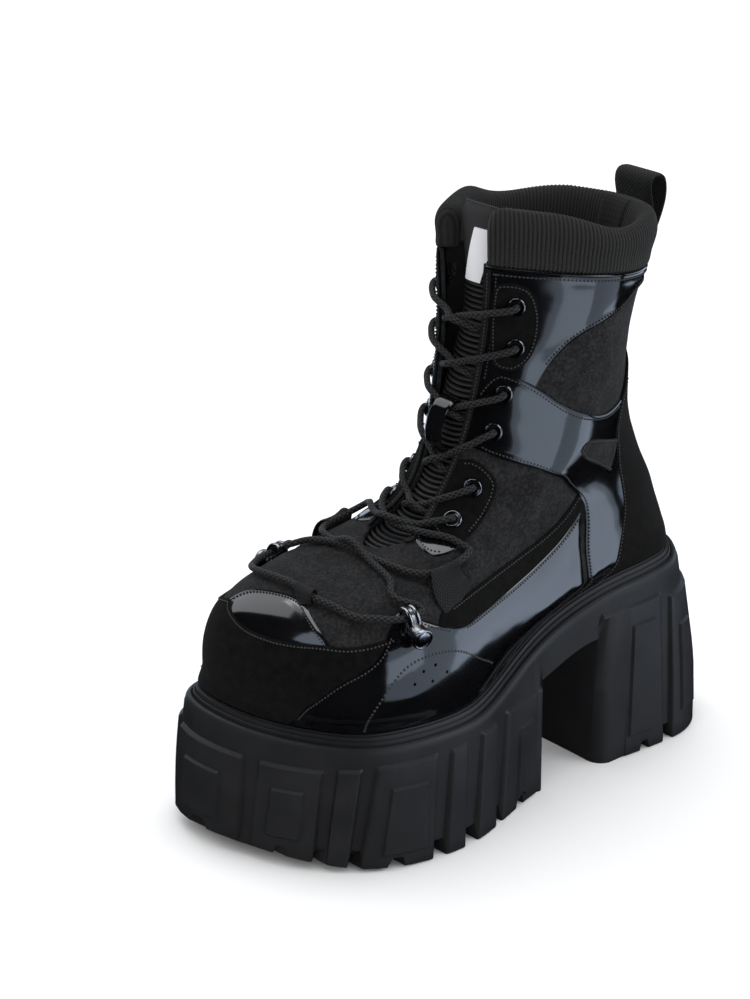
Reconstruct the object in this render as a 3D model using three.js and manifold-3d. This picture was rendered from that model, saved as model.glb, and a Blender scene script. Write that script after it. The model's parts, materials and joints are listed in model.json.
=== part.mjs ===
// Platform boot, left foot. Millimetres, +Z up, toe towards -Y, lateral side towards +X.
// The last is described by a row for each section; every leather, knit and rubber piece is worked out
// from the same section function, so neighbouring pieces share one surface and keep a small gap.
import * as THREE from 'three';
import Module from 'manifold-3d';

const wasm = await Module();
wasm.setup();

// ---------- driving sizes ----------
const CENTRE_X = -4.195;       // middle of the boot's box, moved to the origin
const CENTRE_Y = -1.455;
const LEDGE_FORE = 61;         // height of the platform's top edge under the ball
const LEDGE_RISE = 31;         // how much higher that edge is at the heel
const LEDGE_INSET = 2.5;       // wall draft at the forefoot
const TOE_BULGE = 4;           // how far the medial toe corner swells below the ledge
const HEEL_FLARE = 12;        // extra draft of the heel block at the back
const TOE_SPRING = 7;
const LUG_PROUD = 3;
const CHANNEL = 8;             // depth of the tread channels between lugs
const NOTCH = 4.5;             // depth of the small notch under a wide lug
const ARCH_FRONT = 57, ARCH_BACK = 68;   // underside of the waist
const BLOCK_END = 12;          // y where the forefoot block ends
const BREAST = 49;             // y of the heel breast
const HEEL_CORNER = 9, BLOCK_CORNER = 3;
const DECK = 4.5;              // deck above the ledge
const GAP = 0.3;
const WALL = 2.0;              // leather and lining together
const INSOLE_THICK = 3;
const CORD = 4.0;              // lace diameter
const EYELET_R = 4.3, EYELET_HOLE = 2.3;
const WEB = 1.6;               // webbing thickness
const LOOP_Y = 97.5;           // back of the collar, where the pull loop stands

// ---------- splines ----------
const mixN = (a, b, t) => a + (b - a) * t;
const clamp = (x, a, b) => Math.min(b, Math.max(a, x));
const sstep = (a, b, x) => { const t = clamp((x - a) / (b - a), 0, 1); return t * t * (3 - 2 * t); };
const basis = t => [(1 - t) ** 3 / 6, (3 * t ** 3 - 6 * t * t + 4) / 6, (-3 * t ** 3 + 3 * t * t + 3 * t + 1) / 6, t ** 3 / 6];
const lin2 = (p, q) => p.map((x, i) => 2 * x - q[i]);
function fit(P, closed) {      // control points of the uniform cubic B-spline through the rows P
  let C = P.map(r => r.slice());
  const n = P.length;
  for (let k = 0; k < 60; k++) {
    const prev = i => closed ? C[(i + n - 1) % n] : i ? C[i - 1] : lin2(C[0], C[1]);
    const next = i => closed ? C[(i + 1) % n] : i < n - 1 ? C[i + 1] : lin2(C[n - 1], C[n - 2]);
    C = C.map((c, i) => c.map((x, j) => x + P[i][j] - (prev(i)[j] + 4 * x + next(i)[j]) / 6));
  }
  return C;
}
function at(C, u, closed) {
  const n = C.length;
  if (closed) u = ((u % n) + n) % n; else u = clamp(u, 0, n - 1);
  let i = Math.floor(u);
  if (closed) i %= n; else i = Math.min(i, n - 2);
  const b = basis(closed ? u - Math.floor(u) : u - i);
  const g = closed ? k => C[(i + k + n) % n]
    : k => i + k < 0 ? lin2(C[0], C[1]) : i + k > n - 1 ? lin2(C[n - 1], C[n - 2]) : C[i + k];
  return C[0].map((_, j) => b[0] * g(-1)[j] + b[1] * g(0)[j] + b[2] * g(1)[j] + b[3] * g(2)[j]);
}
const v3 = p => new THREE.Vector3(...p);

// ---------- closed bodies from grids ----------
class Body {
  constructor() { this.pos = []; this.tri = []; this.map = new Map(); }
  v(p) {
    const key = p.map(x => Math.round(x * 2e3)).join();
    if (!this.map.has(key)) { this.map.set(key, this.pos.length / 3); this.pos.push(...p); }
    return this.map.get(key);
  }
  face(a, b, c) { if (a !== b && b !== c && c !== a) this.tri.push(a, b, c); }
  quad(a, b, c, d) { this.face(a, b, c); this.face(a, c, d); }
  grid(G, wrapRow = false, wrapCol = false) {
    const I = G.map(r => r.map(p => this.v(p)));
    const nr = I.length, nc = I[0].length;
    for (let i = 0; i < nr - (wrapRow ? 0 : 1); i++)
      for (let j = 0; j < nc - (wrapCol ? 0 : 1); j++) {
        const k = (i + 1) % nr, l = (j + 1) % nc;
        this.quad(I[i][j], I[i][l], I[k][l], I[k][j]);
      }
  }
  volume() {
    let s = 0;
    const P = i => v3(this.pos.slice(3 * i, 3 * i + 3));
    for (let i = 0; i < this.tri.length; i += 3) s += P(this.tri[i]).dot(P(this.tri[i + 1]).cross(P(this.tri[i + 2])));
    return s / 6;
  }
  outward() {
    if (this.volume() < 0) for (let i = 0; i < this.tri.length; i += 3) [this.tri[i], this.tri[i + 1]] = [this.tri[i + 1], this.tri[i]];
    return this;
  }
  geometry() {
    this.outward();
    const g = new THREE.BufferGeometry();
    g.setAttribute('position', new THREE.Float32BufferAttribute(this.pos, 3));
    g.setIndex(this.tri);
    return g;
  }
}
const solid = b => { b.outward(); return new wasm.Manifold(new wasm.Mesh({ numProp: 3, vertProperties: Float32Array.from(b.pos), triVerts: Uint32Array.from(b.tri) })); };
function fromSolid(m) {
  const r = m.getMesh(), g = new THREE.BufferGeometry(), P = [];
  for (let i = 0; i < r.vertProperties.length; i += r.numProp) P.push(r.vertProperties[i], r.vertProperties[i + 1], r.vertProperties[i + 2]);
  g.setAttribute('position', new THREE.Float32BufferAttribute(P, 3));
  g.setIndex([...r.triVerts]);
  return g;
}
// a closed skin between two grids of the same size (front and back of a patch)
function slab(F, B) {
  const b = new Body();
  b.grid(F);
  b.grid(B.map(r => r.slice().reverse()));
  const rim = (f, g) => b.grid([g, f]);
  rim(F[0], B[0]); rim(F.at(-1).slice().reverse(), B.at(-1).slice().reverse());
  rim(F.map(r => r[0]).reverse(), B.map(r => r[0]).reverse());
  rim(F.map(r => r.at(-1)), B.map(r => r.at(-1)));
  return b;
}
// section (a, b) swept along points with frames {p, a, b}
function sweep(frames, section, closed = false) {
  const b = new Body();
  const G = frames.map(f => section.map(([s, t]) => f.p.clone().addScaledVector(f.a, s).addScaledVector(f.b, t).toArray()));
  b.grid(G, closed, true);
  if (!closed) for (const [R, flip] of [[G[0], true], [G.at(-1), false]]) {
    const I = R.map(p => b.v(p));
    for (let k = 1; k < I.length - 1; k++) flip ? b.face(I[0], I[k + 1], I[k]) : b.face(I[0], I[k], I[k + 1]);
  }
  return b;
}

// ---------- sole ----------
// outline of the tread seen from above, toe, lateral side, heel, medial side
const OUTLINE = fit([
  // x, y
  [-24, -140], [6, -134.5], [32, -120], [50.5, -98], [58.5, -64], [55.5, -36], [45.5, -7], [39.5, 22], [41.5, 55], [43.5, 90], [36.5, 121.5],
  [0, 143],
  [-36.5, 121.5], [-43.5, 90], [-42.5, 58], [-41, 25], [-47, -5], [-56, -38], [-61.5, -72], [-64.5, -106], [-53, -133.5]], true);
const NU = 21, TOE_U = 0.72, HEEL_U = 11;
const spring = y => { const t = clamp((-65 - y) / 75, 0, 1.3); return TOE_SPRING * t * t; };
const ledgeZ = y => LEDGE_FORE + LEDGE_RISE * sstep(-45, 75, y) + 2.5 * sstep(-90, -140, y);
const ledgeIn = y => LEDGE_INSET + HEEL_FLARE * sstep(60, 140, y);
const archZ = y => mixN(ARCH_FRONT, ARCH_BACK, sstep(BLOCK_END - 4, BREAST, y));
function rimPoint(u, inset, up) {   // a point inside the outline by inset, up above the ledge
  const p = at(OUTLINE, u, true), q = at(OUTLINE, u + 0.01, true), o = at(OUTLINE, u - 0.01, true);
  const dx = q[0] - o[0], dy = q[1] - o[1], l = Math.hypot(dx, dy), nx = dy / l, ny = -dx / l;
  const out = (nx * (p[0] - 0) + ny * (p[1] - 0)) < 0 ? -1 : 1;
  const d = ledgeIn(p[1]) + inset;
  const y = p[1] - out * ny * d;
  return [p[0] - out * nx * d, y, ledgeZ(y) + up];
}
function wallPoint(u, z, lug) {
  const p = at(OUTLINE, u, true), q = at(OUTLINE, u + 0.01, true), o = at(OUTLINE, u - 0.01, true);
  const dx = q[0] - o[0], dy = q[1] - o[1], l = Math.hypot(dx, dy);
  let nx = dy / l, ny = -dx / l;
  if (nx * p[0] + ny * (p[1] + (p[1] > 0 ? -20 : 20)) < 0) { nx = -nx; ny = -ny; }
  const y = p[1], zb = spring(y), f = clamp((z - zb) / (ledgeZ(y) - zb), 0, 1);
  const tuck = 1.6 * sstep(90, 140, y) * (1 - sstep(0, 0.35, f));
  const taper = Math.pow(f, mixN(1, 1.5, sstep(60, 120, y)));
  const bulge = TOE_BULGE * sstep(-80, -125, y) * sstep(10, -35, p[0]) * (1 - f * f);
  const d = (lug ? mixN(0, ledgeIn(y) - 1.7, taper) : mixN(LUG_PROUD, ledgeIn(y), taper)) + tuck - bulge;
  return [p[0] - nx * d, p[1] - ny * d, z];
}
// lugs: foot and top ends of each, as places on the outline, on the lateral and on the medial side
const LUGS = [
  // name        latFoot0 latFoot1 latTop0 latTop1 medFoot0 medFoot1 medTop0 medTop1  top  notch
  ['toe',        0.83, 1.87, 1.03, 2.05,  21.61, 20.12, 21.71, 20.25, 50, 1],
  ['rib_front',  2.11, 2.46, 2.34, 2.70,  19.93, 19.62, 19.99, 19.66, 51, 0],
  ['ball',       2.68, 3.75, 2.97, 3.82,  19.42, 18.42, 19.36, 18.38, 52, 1],
  ['rib_mid',    3.97, 4.35, 4.09, 4.39,  18.18, 17.80, 18.10, 17.76, 52, 0],
  ['rib_back',   4.68, 5.23, 4.85, 5.26,  17.50, 16.98, 17.38, 16.95, 53, 0],
  ['waist',      5.43, 6.50, 5.62, 6.50,  16.75, 15.70, 16.60, 15.70, 54, 1],
];
const HEEL_LUGS = [
  ['heel_side',  8.30, 9.06, 8.30, 8.99,  13.70, 12.94, 13.70, 13.01, 80, 1],
  ['heel_rear',  9.27, 10.05, 9.27, 10.0, 12.73, 11.95, 12.73, 12.0, 76, 0],
  ['heel_back',  10.25, 10.87, 10.22, 10.87, 11.75, 11.13, 11.78, 11.13, 74, 0],
];
// one column: places on the outline at foot and top, lowest height, whether it is proud, top of the lug
function columns(side) {
  const o = side > 0 ? 1 : 5, s = side > 0 ? 1 : -1, e = 0.035 * s, cols = [];
  const add = (ub, ut, low, lug, top, extra = {}) => cols.push({ ub, ut, low, lug, top, ...extra });
  const groove = (ub, ut, top) => add(ub, ut, 'channel', false, top);
  for (const table of [LUGS, HEEL_LUGS]) {
    table.forEach((r, k) => {
      const [b0, b1, t0, t1] = r.slice(o, o + 4), top = r[9], notch = r[10];
      const L = f => [mixN(b0, b1, f), mixN(t0, t1, f)];
      if (!(table === HEEL_LUGS && k === 0)) groove(b0 - e, t0 - e, top);
      for (const [f, low] of notch ? [[0, 0], [0.38, 0], [0.43, NOTCH], [0.57, NOTCH], [0.62, 0], [1, 0]] : [[0, 0], [1, 0]])
        add(...L(f), low, true, top);
      if (!(table === LUGS && k === LUGS.length - 1)) groove(b1 + e, t1 + e, top);
    });
    if (table === LUGS) {
      const uEnd = side > 0 ? 6.64 : 15.50, y0 = BLOCK_END, r = BLOCK_CORNER;
      for (const th of [60, 30, 0]) add(uEnd, uEnd - s * 0.02 * (th / 30), 0, true, 54, { corner: [y0, -r, th] });
      const w = side > 0 ? [6.68, 6.95, 7.25, 7.55, 7.80] : [15.46, 15.15, 14.85, 14.55, 14.30];
      for (const u of w) add(u, u, 'arch', false, 0);
      for (const th of [0, 30, 60]) add(w[4] + s * (0.06 + th / 300), w[4] + s * (0.06 + th / 300), 0, true, 80, { corner: [BREAST, HEEL_CORNER, th] });
    }
  }
  return cols;
}
const ROWS_WALL = [0, 0.3, 0.62, 0.95, 1];       // shares of the way from the foot to the lug's top
function columnPoints(c, side) {
  const y = at(OUTLINE, c.ub, true)[1];
  const low = c.low === 'channel' ? spring(y) + CHANNEL : c.low === 'arch' ? archZ(y) : spring(y) + c.low;
  const ledge = ledgeZ(y), P = [];
  const top = c.low === 'arch' ? mixN(low, ledge, 0.35) : c.top;
  ROWS_WALL.forEach((f, i) => {
    const z = i === 4 ? top + 1.4 : mixN(low, top, f), lug = c.lug && i < 4;
    const u = mixN(c.ub, c.ut, clamp(z / top, 0, 1));
    let p = wallPoint(u, z, lug);
    if (c.corner) {             // rounded upright corner of the block, fading out under the waist
      const [y0, r, th] = c.corner, a = th * Math.PI / 180, R = Math.abs(r), dir = Math.sign(r);
      const w = 1 - sstep(ARCH_FRONT - 14, ARCH_BACK - 6, z);
      const base = wallPoint(uAtY(y0 + dir * R, side), z, true);
      const q = [base[0] - side * R * (1 - Math.sin(a)), y0 + dir * R * (1 - Math.cos(a)), z];
      p = p.map((x, k) => mixN(x, q[k], w));
    }
    P.push(p);
  });
  P.push(wallPoint(c.ut, ledge - 4, false));
  for (const [inset, up] of RIM) P.push(rimPoint(c.ut, inset, up));
  return P;
}
const RIM = [[0.2, -1.2], [1.3, 0], [2.6, 0.3], [3.2, -0.8], [3.8, 1.6], [5.0, 3.6], [6.6, DECK]];
function uAtY(y, side) {        // the place on the outline with this y, on one side of the waist or heel
  let best = 0, err = 1e9;
  for (let u = side > 0 ? 5.5 : 12; u <= (side > 0 ? 10 : 16.5); u += 0.01) { const d = Math.abs(at(OUTLINE, u, true)[1] - y); if (d < err) { err = d; best = u; } }
  return best;
}
function deckLine(p, q, up) {     // level line across the deck, following its rise towards the heel
  return range(0, 1, 4).map(t => { const y = mixN(p[1], q[1], t); return [mixN(p[0], q[0], t), y, t > 0 && t < 1 ? ledgeZ(y) + up : mixN(p[2], q[2], t)]; });
}
function buildSole() {
  const b = new Body();
  const end = (u, low, lug, top) => ({ ub: u, ut: u, low, lug, top });
  const toe = end(TOE_U, 'channel', false, 50), heel = end(HEEL_U, 'channel', false, 74);
  const L = [toe, ...columns(1), heel].map(c => columnPoints(c, 1));
  const M = [toe, ...columns(-1), heel].map(c => columnPoints(c, -1));
  b.grid(L);
  b.grid(M.map(c => c.slice().reverse()));
  const across = (p, q, k) => {
    const d = Math.hypot(p[0] - q[0], p[1] - q[1]), f = Math.min(0.3, 9 / (d || 1));
    const mid = Math.max(p[2], q[2]), local = Math.abs(mid - CHANNEL - spring((p[1] + q[1]) / 2)) > 1 && mid < 15;
    const z = local ? spring((p[1] + q[1]) / 2) : null;
    return [0, f, 0.5, 1 - f, 1].map((t, i) => [mixN(p[0], q[0], t), mixN(p[1], q[1], t), i && i < 4 && z !== null && k ? z : mixN(p[2], q[2], t)]);
  };
  b.grid(L.map((c, i) => across(c[0], M[i][0], 1)).map(r => r.reverse()));
  b.grid(L.map((c, i) => deckLine(c.at(-1), M[i].at(-1), DECK)));
  return b;
}

// ---------- last ----------
// sections from the feather line to the collar seam; a row for each
// front x, y, z; back y, z; s: 0 follows the foot line, 1 straight; half widths on each side at four stations
const STATIONS = [0.07, 0.27, 0.55, 0.87];
const SECTIONS = fit([
  // xf     yf     zf     yb     zb    s    l1  l2    l3    l4      m1  m2    m3    m4
  [-22, -130.5,  70.0, 120.0,  97.0, 0.0, 33, 50.0, 37.5, 29.0,   49, 53.0, 37.5, 29.0],
  [-22, -132.0,  82.0, 117.5, 108.0, 0.0, 34, 51.5, 38.5, 28.5,   50, 54.5, 38.5, 28.5],
  [-21, -131.0,  96.0, 113.0, 120.0, 0.1, 33, 50.5, 38.0, 27.5,   49, 53.0, 38.0, 27.5],
  [-19, -125.0, 110.0, 108.5, 132.0, 0.2, 31, 47.0, 36.5, 26.5,   45, 49.0, 36.5, 26.5],
  [-15, -110.0, 120.5, 102.0, 145.0, 0.4, 27, 41.0, 35.0, 25.0,   38, 43.0, 35.0, 25.0],
  [-10,  -86.0, 127.0,  96.0, 158.0, 0.6, 23, 35.5, 34.0, 24.5,   30, 37.0, 34.0, 24.5],
  [ -5,  -60.0, 133.0,  91.5, 170.0, 0.8, 20, 31.5, 34.5, 24.5,   24, 32.5, 34.5, 24.5],
  [ -2,  -40.0, 143.0,  88.5, 181.0, 1.0, 18, 29.5, 35.5, 25.0,   20, 30.0, 35.5, 25.0],
  [  0,  -27.0, 160.0,  87.0, 192.0, 1.0, 17, 29.0, 36.5, 25.5,   18, 29.0, 36.5, 25.5],
  [  0,  -19.0, 182.0,  86.0, 204.0, 1.0, 17, 29.5, 38.0, 26.0,   17, 29.5, 38.0, 26.0],
  [  0,  -14.0, 207.0,  86.0, 217.0, 1.0, 18, 31.0, 40.0, 27.0,   18, 31.0, 40.0, 27.0],
  [  0,  -12.0, 232.0,  87.5, 230.0, 1.0, 18, 32.5, 42.0, 28.5,   18, 32.5, 42.0, 28.5],
  [  0,  -13.0, 262.0,  92.5, 246.0, 1.0, 19, 34.0, 44.0, 30.5,   19, 34.0, 44.0, 30.5],
  [  0,  -15.0, 288.0,  99.0, 270.0, 1.0, 20, 35.0, 45.5, 33.5,   20, 35.0, 45.5, 33.5],
], false);
const V_SEAM = 12, V_TOP = 13;
const NP = 10;
// the same ten stations as places on the tread outline
const FOOT_U = [0, 2.35, 4.0, 6.4, 8.8, 11, 13.2, 15.65, 18.2, 19.45].map(u => [u > 20 ? u - 21 : u]);
const cache = new Map();
function section(v) {
  const key = Math.round(v * 1e4);
  if (cache.has(key)) return cache.get(key);
  const r = at(SECTIONS, v, false), [xf, yf, zf, yb, zb] = r, s = clamp(r[5], 0, 1), L = yb - yf;
  const foot = y => sstep(-45, 75, y);
  const z = t => { const a0 = foot(yf), a1 = foot(yb), lo = (foot(yf + t * L) - a0) / (a1 - a0 + 1e-9); return zf + (zb - zf) * ((1 - s) * lo + s * t); };
  const P = [[xf, yf, zf]];
  STATIONS.forEach((t, i) => P.push([r[6 + i], yf + t * L, z(t)]));
  P.push([0, yb, zb]);
  [3, 2, 1, 0].forEach(i => P.push([-r[10 + i], yf + STATIONS[i] * L, z(STATIONS[i])]));
  const C = fit(P, true);
  cache.set(key, C);
  return C;
}
function footU(p) {             // place on the outline for a place on a section, smooth and increasing
  p = ((p % NP) + NP) % NP;
  const i = Math.floor(p), t = p - i, g = k => { const m = (k + 10 * NP) % NP, turns = Math.floor(k / NP); return FOOT_U[m][0] + turns * 21; };
  const a = g(i - 1), b = g(i), c = g(i + 1), d = g(i + 2);
  return b + 0.5 * t * (c - a + t * (2 * a - 5 * b + 4 * c - d + t * (3 * (b - c) + d - a)));
}
const FEATHER_IN = 7.2;
function skin(v, p) {           // point on the outside of the upper
  const P = at(section(v), p, true), w = sstep(0, 1.0, v);
  if (w >= 1) return P;
  const q = rimPoint(footU(p), FEATHER_IN, DECK + 1.5 * GAP), q1 = q.slice();
  q1[2] += (v) * 11.5;
  return P.map((x, k) => mixN(q1[k], x, w));
}
function normal(v, p) {
  const e = 0.02, a = v3(skin(v, p + e)).sub(v3(skin(v, p - e)));
  const v0 = Math.max(0, Math.min(v, V_TOP) - e), v1 = Math.min(V_TOP, v + e), b = v3(skin(v1, p)).sub(v3(skin(v0, p)));
  const n = a.cross(b).normalize();
  if (v < 0.3) { n.z *= v / 0.3; n.normalize(); }
  return n;
}
const SIDE = normal(6, 2.5).x > 0 ? 1 : -1;
const shell = (v, p, off) => v3(skin(v, p)).addScaledVector(normal(v, p), SIDE * off).toArray();
const range = (a, b, n) => Array.from({ length: n + 1 }, (_, i) => a + (b - a) * i / n);

// ---------- throat ----------
// half width of the opening between the facings along the front line
const THROAT = fit([
  // v    half
  [5.95, 5.5],
  [6.4,  9.5],
  [7.2,  8.2],
  [8.0,  8.4],
  [9.0, 10.5],
  [10.5, 12.6],
  [12.0, 14.8],
  [13.6, 16.5]], false);
function throatHalf(v) { let lo = 0, hi = 7; for (let k = 0; k < 30; k++) { const m = (lo + hi) / 2; at(THROAT, m, false)[0] < v ? lo = m : hi = m; } return at(THROAT, lo, false)[1]; }
function pAtX(v, x) {           // place on the front of a section with this x; lateral has positive x
  let lo = 0, hi = 2.2; const s = Math.sign(x);
  for (let k = 0; k < 30; k++) { const m = (lo + hi) / 2; s * skin(v, s * m)[0] < s * x ? lo = m : hi = m; }
  return s * lo;
}

function buildUpper() {
  const b = new Body(), V = [0, 0.4, 1.0, 1.7, 2.4, 3.1, 3.9, 4.8, 5.7, 6.7, 7.8, 9.0, 10.5, V_SEAM], n = 50;
  const row = (v, off) => range(0, NP, n).slice(0, n).map(p => shell(v, p, off));
  b.grid([...V.map(v => row(v, 0)), ...V.slice().reverse().map(v => row(v, -WALL))], true, true);
  let m = solid(b);
  const F = range(5.95, 13.2, 12).map(v => {
    const c = v3(skin(v, 0)), n = normal(v, 0).multiplyScalar(SIDE);
    return { p: c, a: new THREE.Vector3(1, 0, 0), b: n, h: throatHalf(v), v };
  });
  const cut = new Body();
  const G = F.map(f => [[-1, -14], [1, -14], [1, 12], [-1, 12]].map(([s, t]) => f.p.clone().addScaledVector(f.a, s * f.h).addScaledVector(f.b, t * (t < 0 && f.v < 7.2 ? 0.6 : 1)).toArray()));
  cut.grid(G, false, true);
  for (const [R, flip] of [[G[0], true], [G.at(-1), false]]) { const I = R.map(p => cut.v(p)); flip ? (cut.face(I[0], I[2], I[1]), cut.face(I[0], I[3], I[2])) : (cut.face(I[0], I[1], I[2]), cut.face(I[0], I[2], I[3])); }
  m = m.subtract(solid(cut));
  for (const e of EYELETS) for (const s of [1, -1]) m = m.subtract(solid(barrel(e, s, EYELET_HOLE + GAP, -6, 6, 8)));
  return m;
}

// ---------- eyelets ----------
const EYELETS = [
  // section, place on it, extra lift of the flange
  { v: 11.38, p: 1.42, lift: 0 },
  { v: 10.62, p: 1.45, lift: 0 },
  { v: 9.68,  p: 1.34, lift: 0 },
  { v: 8.93,  p: 1.29, lift: 0 },
  { v: 7.70,  p: 1.21, lift: 0.5 },
  { v: 6.90,  p: 1.13, lift: 1.0 }];
function eyelet(e, s) {
  return { c: v3(skin(e.v, s * e.p)), n: normal(e.v, s * e.p).multiplyScalar(SIDE), p: s * e.p };
}
function frame(n) {
  const a = new THREE.Vector3(0, 0, 1).cross(n).normalize(), b = n.clone().cross(a);
  return [a, b];
}
function barrel(e, s, r, z0, z1, k) {
  const { c, n } = eyelet(e, s), [a, b] = frame(n), body = new Body();
  const ring = z => range(0, 2 * Math.PI, k).slice(0, k).map(t => c.clone().addScaledVector(n, z).addScaledVector(a, r * Math.cos(t)).addScaledVector(b, r * Math.sin(t)).toArray());
  const G = [ring(z0), ring(z1)];
  body.grid(G, false, true);
  for (const [R, flip] of [[G[0], true], [G[1], false]]) { const I = R.map(p => body.v(p)); for (let j = 1; j < k - 1; j++) flip ? body.face(I[0], I[j + 1], I[j]) : body.face(I[0], I[j], I[j + 1]); }
  return body;
}
function buildEyelet(e, s) {    // flanged ring whose barrel passes through the facing
  const { c, n } = eyelet(e, s), [a, b] = frame(n), k = 8, body = new Body();
  const P = [[1.6, -2.1], [2.2, -2.1], [2.2, 0.9], [EYELET_R, 0.9], [EYELET_R - 0.6, 1.7], [1.8, 1.7]].map(([r, z]) => [r, z + (z > 0 ? e.lift : 0)]);
  body.grid(P.map(([r, z]) => range(0, 2 * Math.PI, k).slice(0, k).map(t => c.clone().addScaledVector(n, z).addScaledVector(a, r * Math.cos(t)).addScaledVector(b, r * Math.sin(t)).toArray())), true, true);
  return body;
}

// ---------- insole ----------
function buildInsole() {
  const inset = FEATHER_IN + WALL + 1.6, up0 = DECK + 2.4 * GAP;
  const U = [TOE_U, ...[0.3, 0.7, 1.2, 1.8, 2.5, 3.2, 4, 4.8, 5.6, 6.3, 7.0, 7.6, 8.2, 8.8, 9.3, 9.7, 10].map(x => TOE_U + x), HEEL_U];
  const other = u => NU + TOE_U - (u - TOE_U) * (NU + TOE_U - HEEL_U) / (HEEL_U - TOE_U);
  const line = (u, up) => deckLine(rimPoint(u, inset, up), rimPoint(other(u), inset, up), up);
  const bottom = U.map(u => line(u, up0)), top = U.map(u => line(u, up0 + INSOLE_THICK));
  return slab(top, bottom);
}

// ---------- tongue ----------
const TONGUE = 5;               // padded thickness
const tongueIn = v => WALL + 0.6 + 9.0 * sstep(8.8, 11.6, v);
const TONGUE_HALF = fit([
  // v    half
  [5.2, 17],
  [7.0, 24],
  [9.0, 25],
  [11.0, 25],
  [13.0, 25]], false);
function tonguePoint(v, f, off) {
  const k = clamp((v - 5.2) / 7.8 * 4, 0, 4), h = at(TONGUE_HALF, k, false)[1];
  const x = f * h, p = pAtX(Math.min(v, V_TOP), x || 1e-3);
  return shell(Math.min(v, V_TOP), p, -tongueIn(v) + off);
}
function buildTongue() {
  const V = range(5.35, 12.85, 13), F = range(-1, 1, 8);
  const G = off => V.map(v => F.map(f => tonguePoint(v, f, off * (1 - 0.55 * f ** 8))));
  return slab(G(0), G(-TONGUE));
}

// ---------- collar ----------
const COLLAR = [
  // share of the height above the seam, inward from the outside face
  [0, 0], [0.3, -0.8], [0.62, -0.9], [0.86, 0.6], [1, 3.4], [1.01, 6.2], [0.86, 9.2], [0.5, 10.2], [0.15, 9.6], [0, 8.2]];
function buildCollar() {
  const k = 36, p0 = t => { const h = throatHalf(12.4); return pAtX(12.4, h) + 0.04; };
  const a = p0(), P = range(a, NP - a, k);
  const G = P.map((p, i) => {
    const e = Math.min(i, k - i), round = e === 0 ? 0.72 : e === 1 ? 0.93 : 1;
    const q = ((p < 5 ? p : NP - p) - 3.1) / 0.75, dip = 1 - 0.22 * Math.exp(-q * q);
    return COLLAR.map(([h, d]) => {
      const low = 1 - 0.22 * sstep(NP - 2.6, NP - 1.2, p);
      const v = V_SEAM + 0.012 + h * round * dip * low;
      return shell(Math.min(v, V_TOP + 0.05), p, -d * (h > 0.5 ? 1 : 1));
    });
  });
  const b = new Body();
  b.grid(G, false, true);
  for (const [R, flip] of [[G[0], true], [G.at(-1), false]]) {
    const I = R.map(q => b.v(q)), n = I.length;
    let i = 0, j = n - 1;
    while (j - i > 1) { flip ? b.face(I[i], I[j], I[i + 1]) : b.face(I[i], I[i + 1], I[j]); i++; if (j - i > 1) { flip ? b.face(I[i], I[j], I[j - 1]) : b.face(I[i], I[j - 1], I[j]); j--; } }
  }
  return b;
}

// ---------- webbing ----------
function strap(points, width, thick, dir) {   // flat strap along points, width along dir
  const curve = points.map(v3), n = curve.length;
  const frames = curve.map((p, i) => {
    const t = curve[Math.min(n - 1, i + 1)].clone().sub(curve[Math.max(0, i - 1)]).normalize();
    const a = (Array.isArray(dir) ? v3(dir) : dir).clone(); a.addScaledVector(t, -a.dot(t)).normalize();
    return { p, a, b: t.clone().cross(a).normalize() };
  });
  const w = width / 2, h = thick / 2;
  return sweep(frames, [[-w, -h], [w, -h], [w, h], [-w, h]]);
}
function buildPullLoop() {      // standing loop of webbing at the back of the collar
  const P = [];
  for (const [y, z] of [[3.2, 252], [4.2, 258], [4.2, 266], [2.6, 274], [2.6, 279], [4.6, 281.6], [8, 282], [11, 280.4], [12.4, 276], [12.2, 270], [10.0, 263], [6.8, 256]])
    P.push([0, LOOP_Y + y, z]);
  return strap(P, 24, WEB, [1, 0, 0]);
}

// ---------- cords ----------
function tube(points, r, k = 6) {
  const n = points.length, P = points.map(p => Array.isArray(p) ? v3(p) : p);
  let up = new THREE.Vector3(0, 0, 1);
  const frames = P.map((p, i) => {
    const t = P[Math.min(n - 1, i + 1)].clone().sub(P[Math.max(0, i - 1)]).normalize();
    const a = up.clone().addScaledVector(t, -up.dot(t)).normalize();
    up = a;
    return { p, a, b: t.clone().cross(a) };
  });
  return sweep(frames, range(0, 2 * Math.PI, k).slice(0, k).map(t => [r * Math.cos(t), r * Math.sin(t)]));
}
function overSkin(A, B, lift, n = 8, arch = 0) { // a run from (v,p) A to (v,p) B riding above the outside
  return range(0, 1, n).map(t => {
    const v = mixN(A[0], B[0], t), p = mixN(A[1], B[1], t);
    return v3(skin(v, p)).addScaledVector(normal(v, p).multiplyScalar(SIDE), lift + arch * Math.sin(Math.PI * t));
  });
}
// the two strands between one row of eyelets and the next: each comes out from under one facing's edge,
// crosses the tongue and rides over the other edge to the eyelet; they are joined where they cross
function crossing(lo, hi) {
  const mk = s => {
    const E = EYELETS[hi], B = eyelet(E, s), v0 = mixN(EYELETS[lo].v, E.v, 0.42), p0 = pAtX(v0, -s * (throatHalf(v0) - 2.9)), P = [];
    for (const t of range(0, 1, 60)) {
      const v = mixN(v0, E.v, t), q = mixN(p0, B.p, t), c = v3(skin(v, q));
      if (c.distanceTo(B.c) < 5.8) break;
      P.push(c.addScaledVector(normal(v, q).multiplyScalar(SIDE), mixN(0.15, CORD / 2 + 1.6, sstep(0.12, 0.38, t)) + 1.0 * sstep(0.6, 0.8, t)));
    }
    const k = 5;
    return solid(tube(range(0, P.length - 1, k).map(i => P[Math.round(i)]), CORD / 2));
  };
  return mk(1).add(mk(-1));
}
const HOOK = { v: 3.62, p: 1.58 }, VLOOP = { v: 4.75, p: 1.74 };
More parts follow.
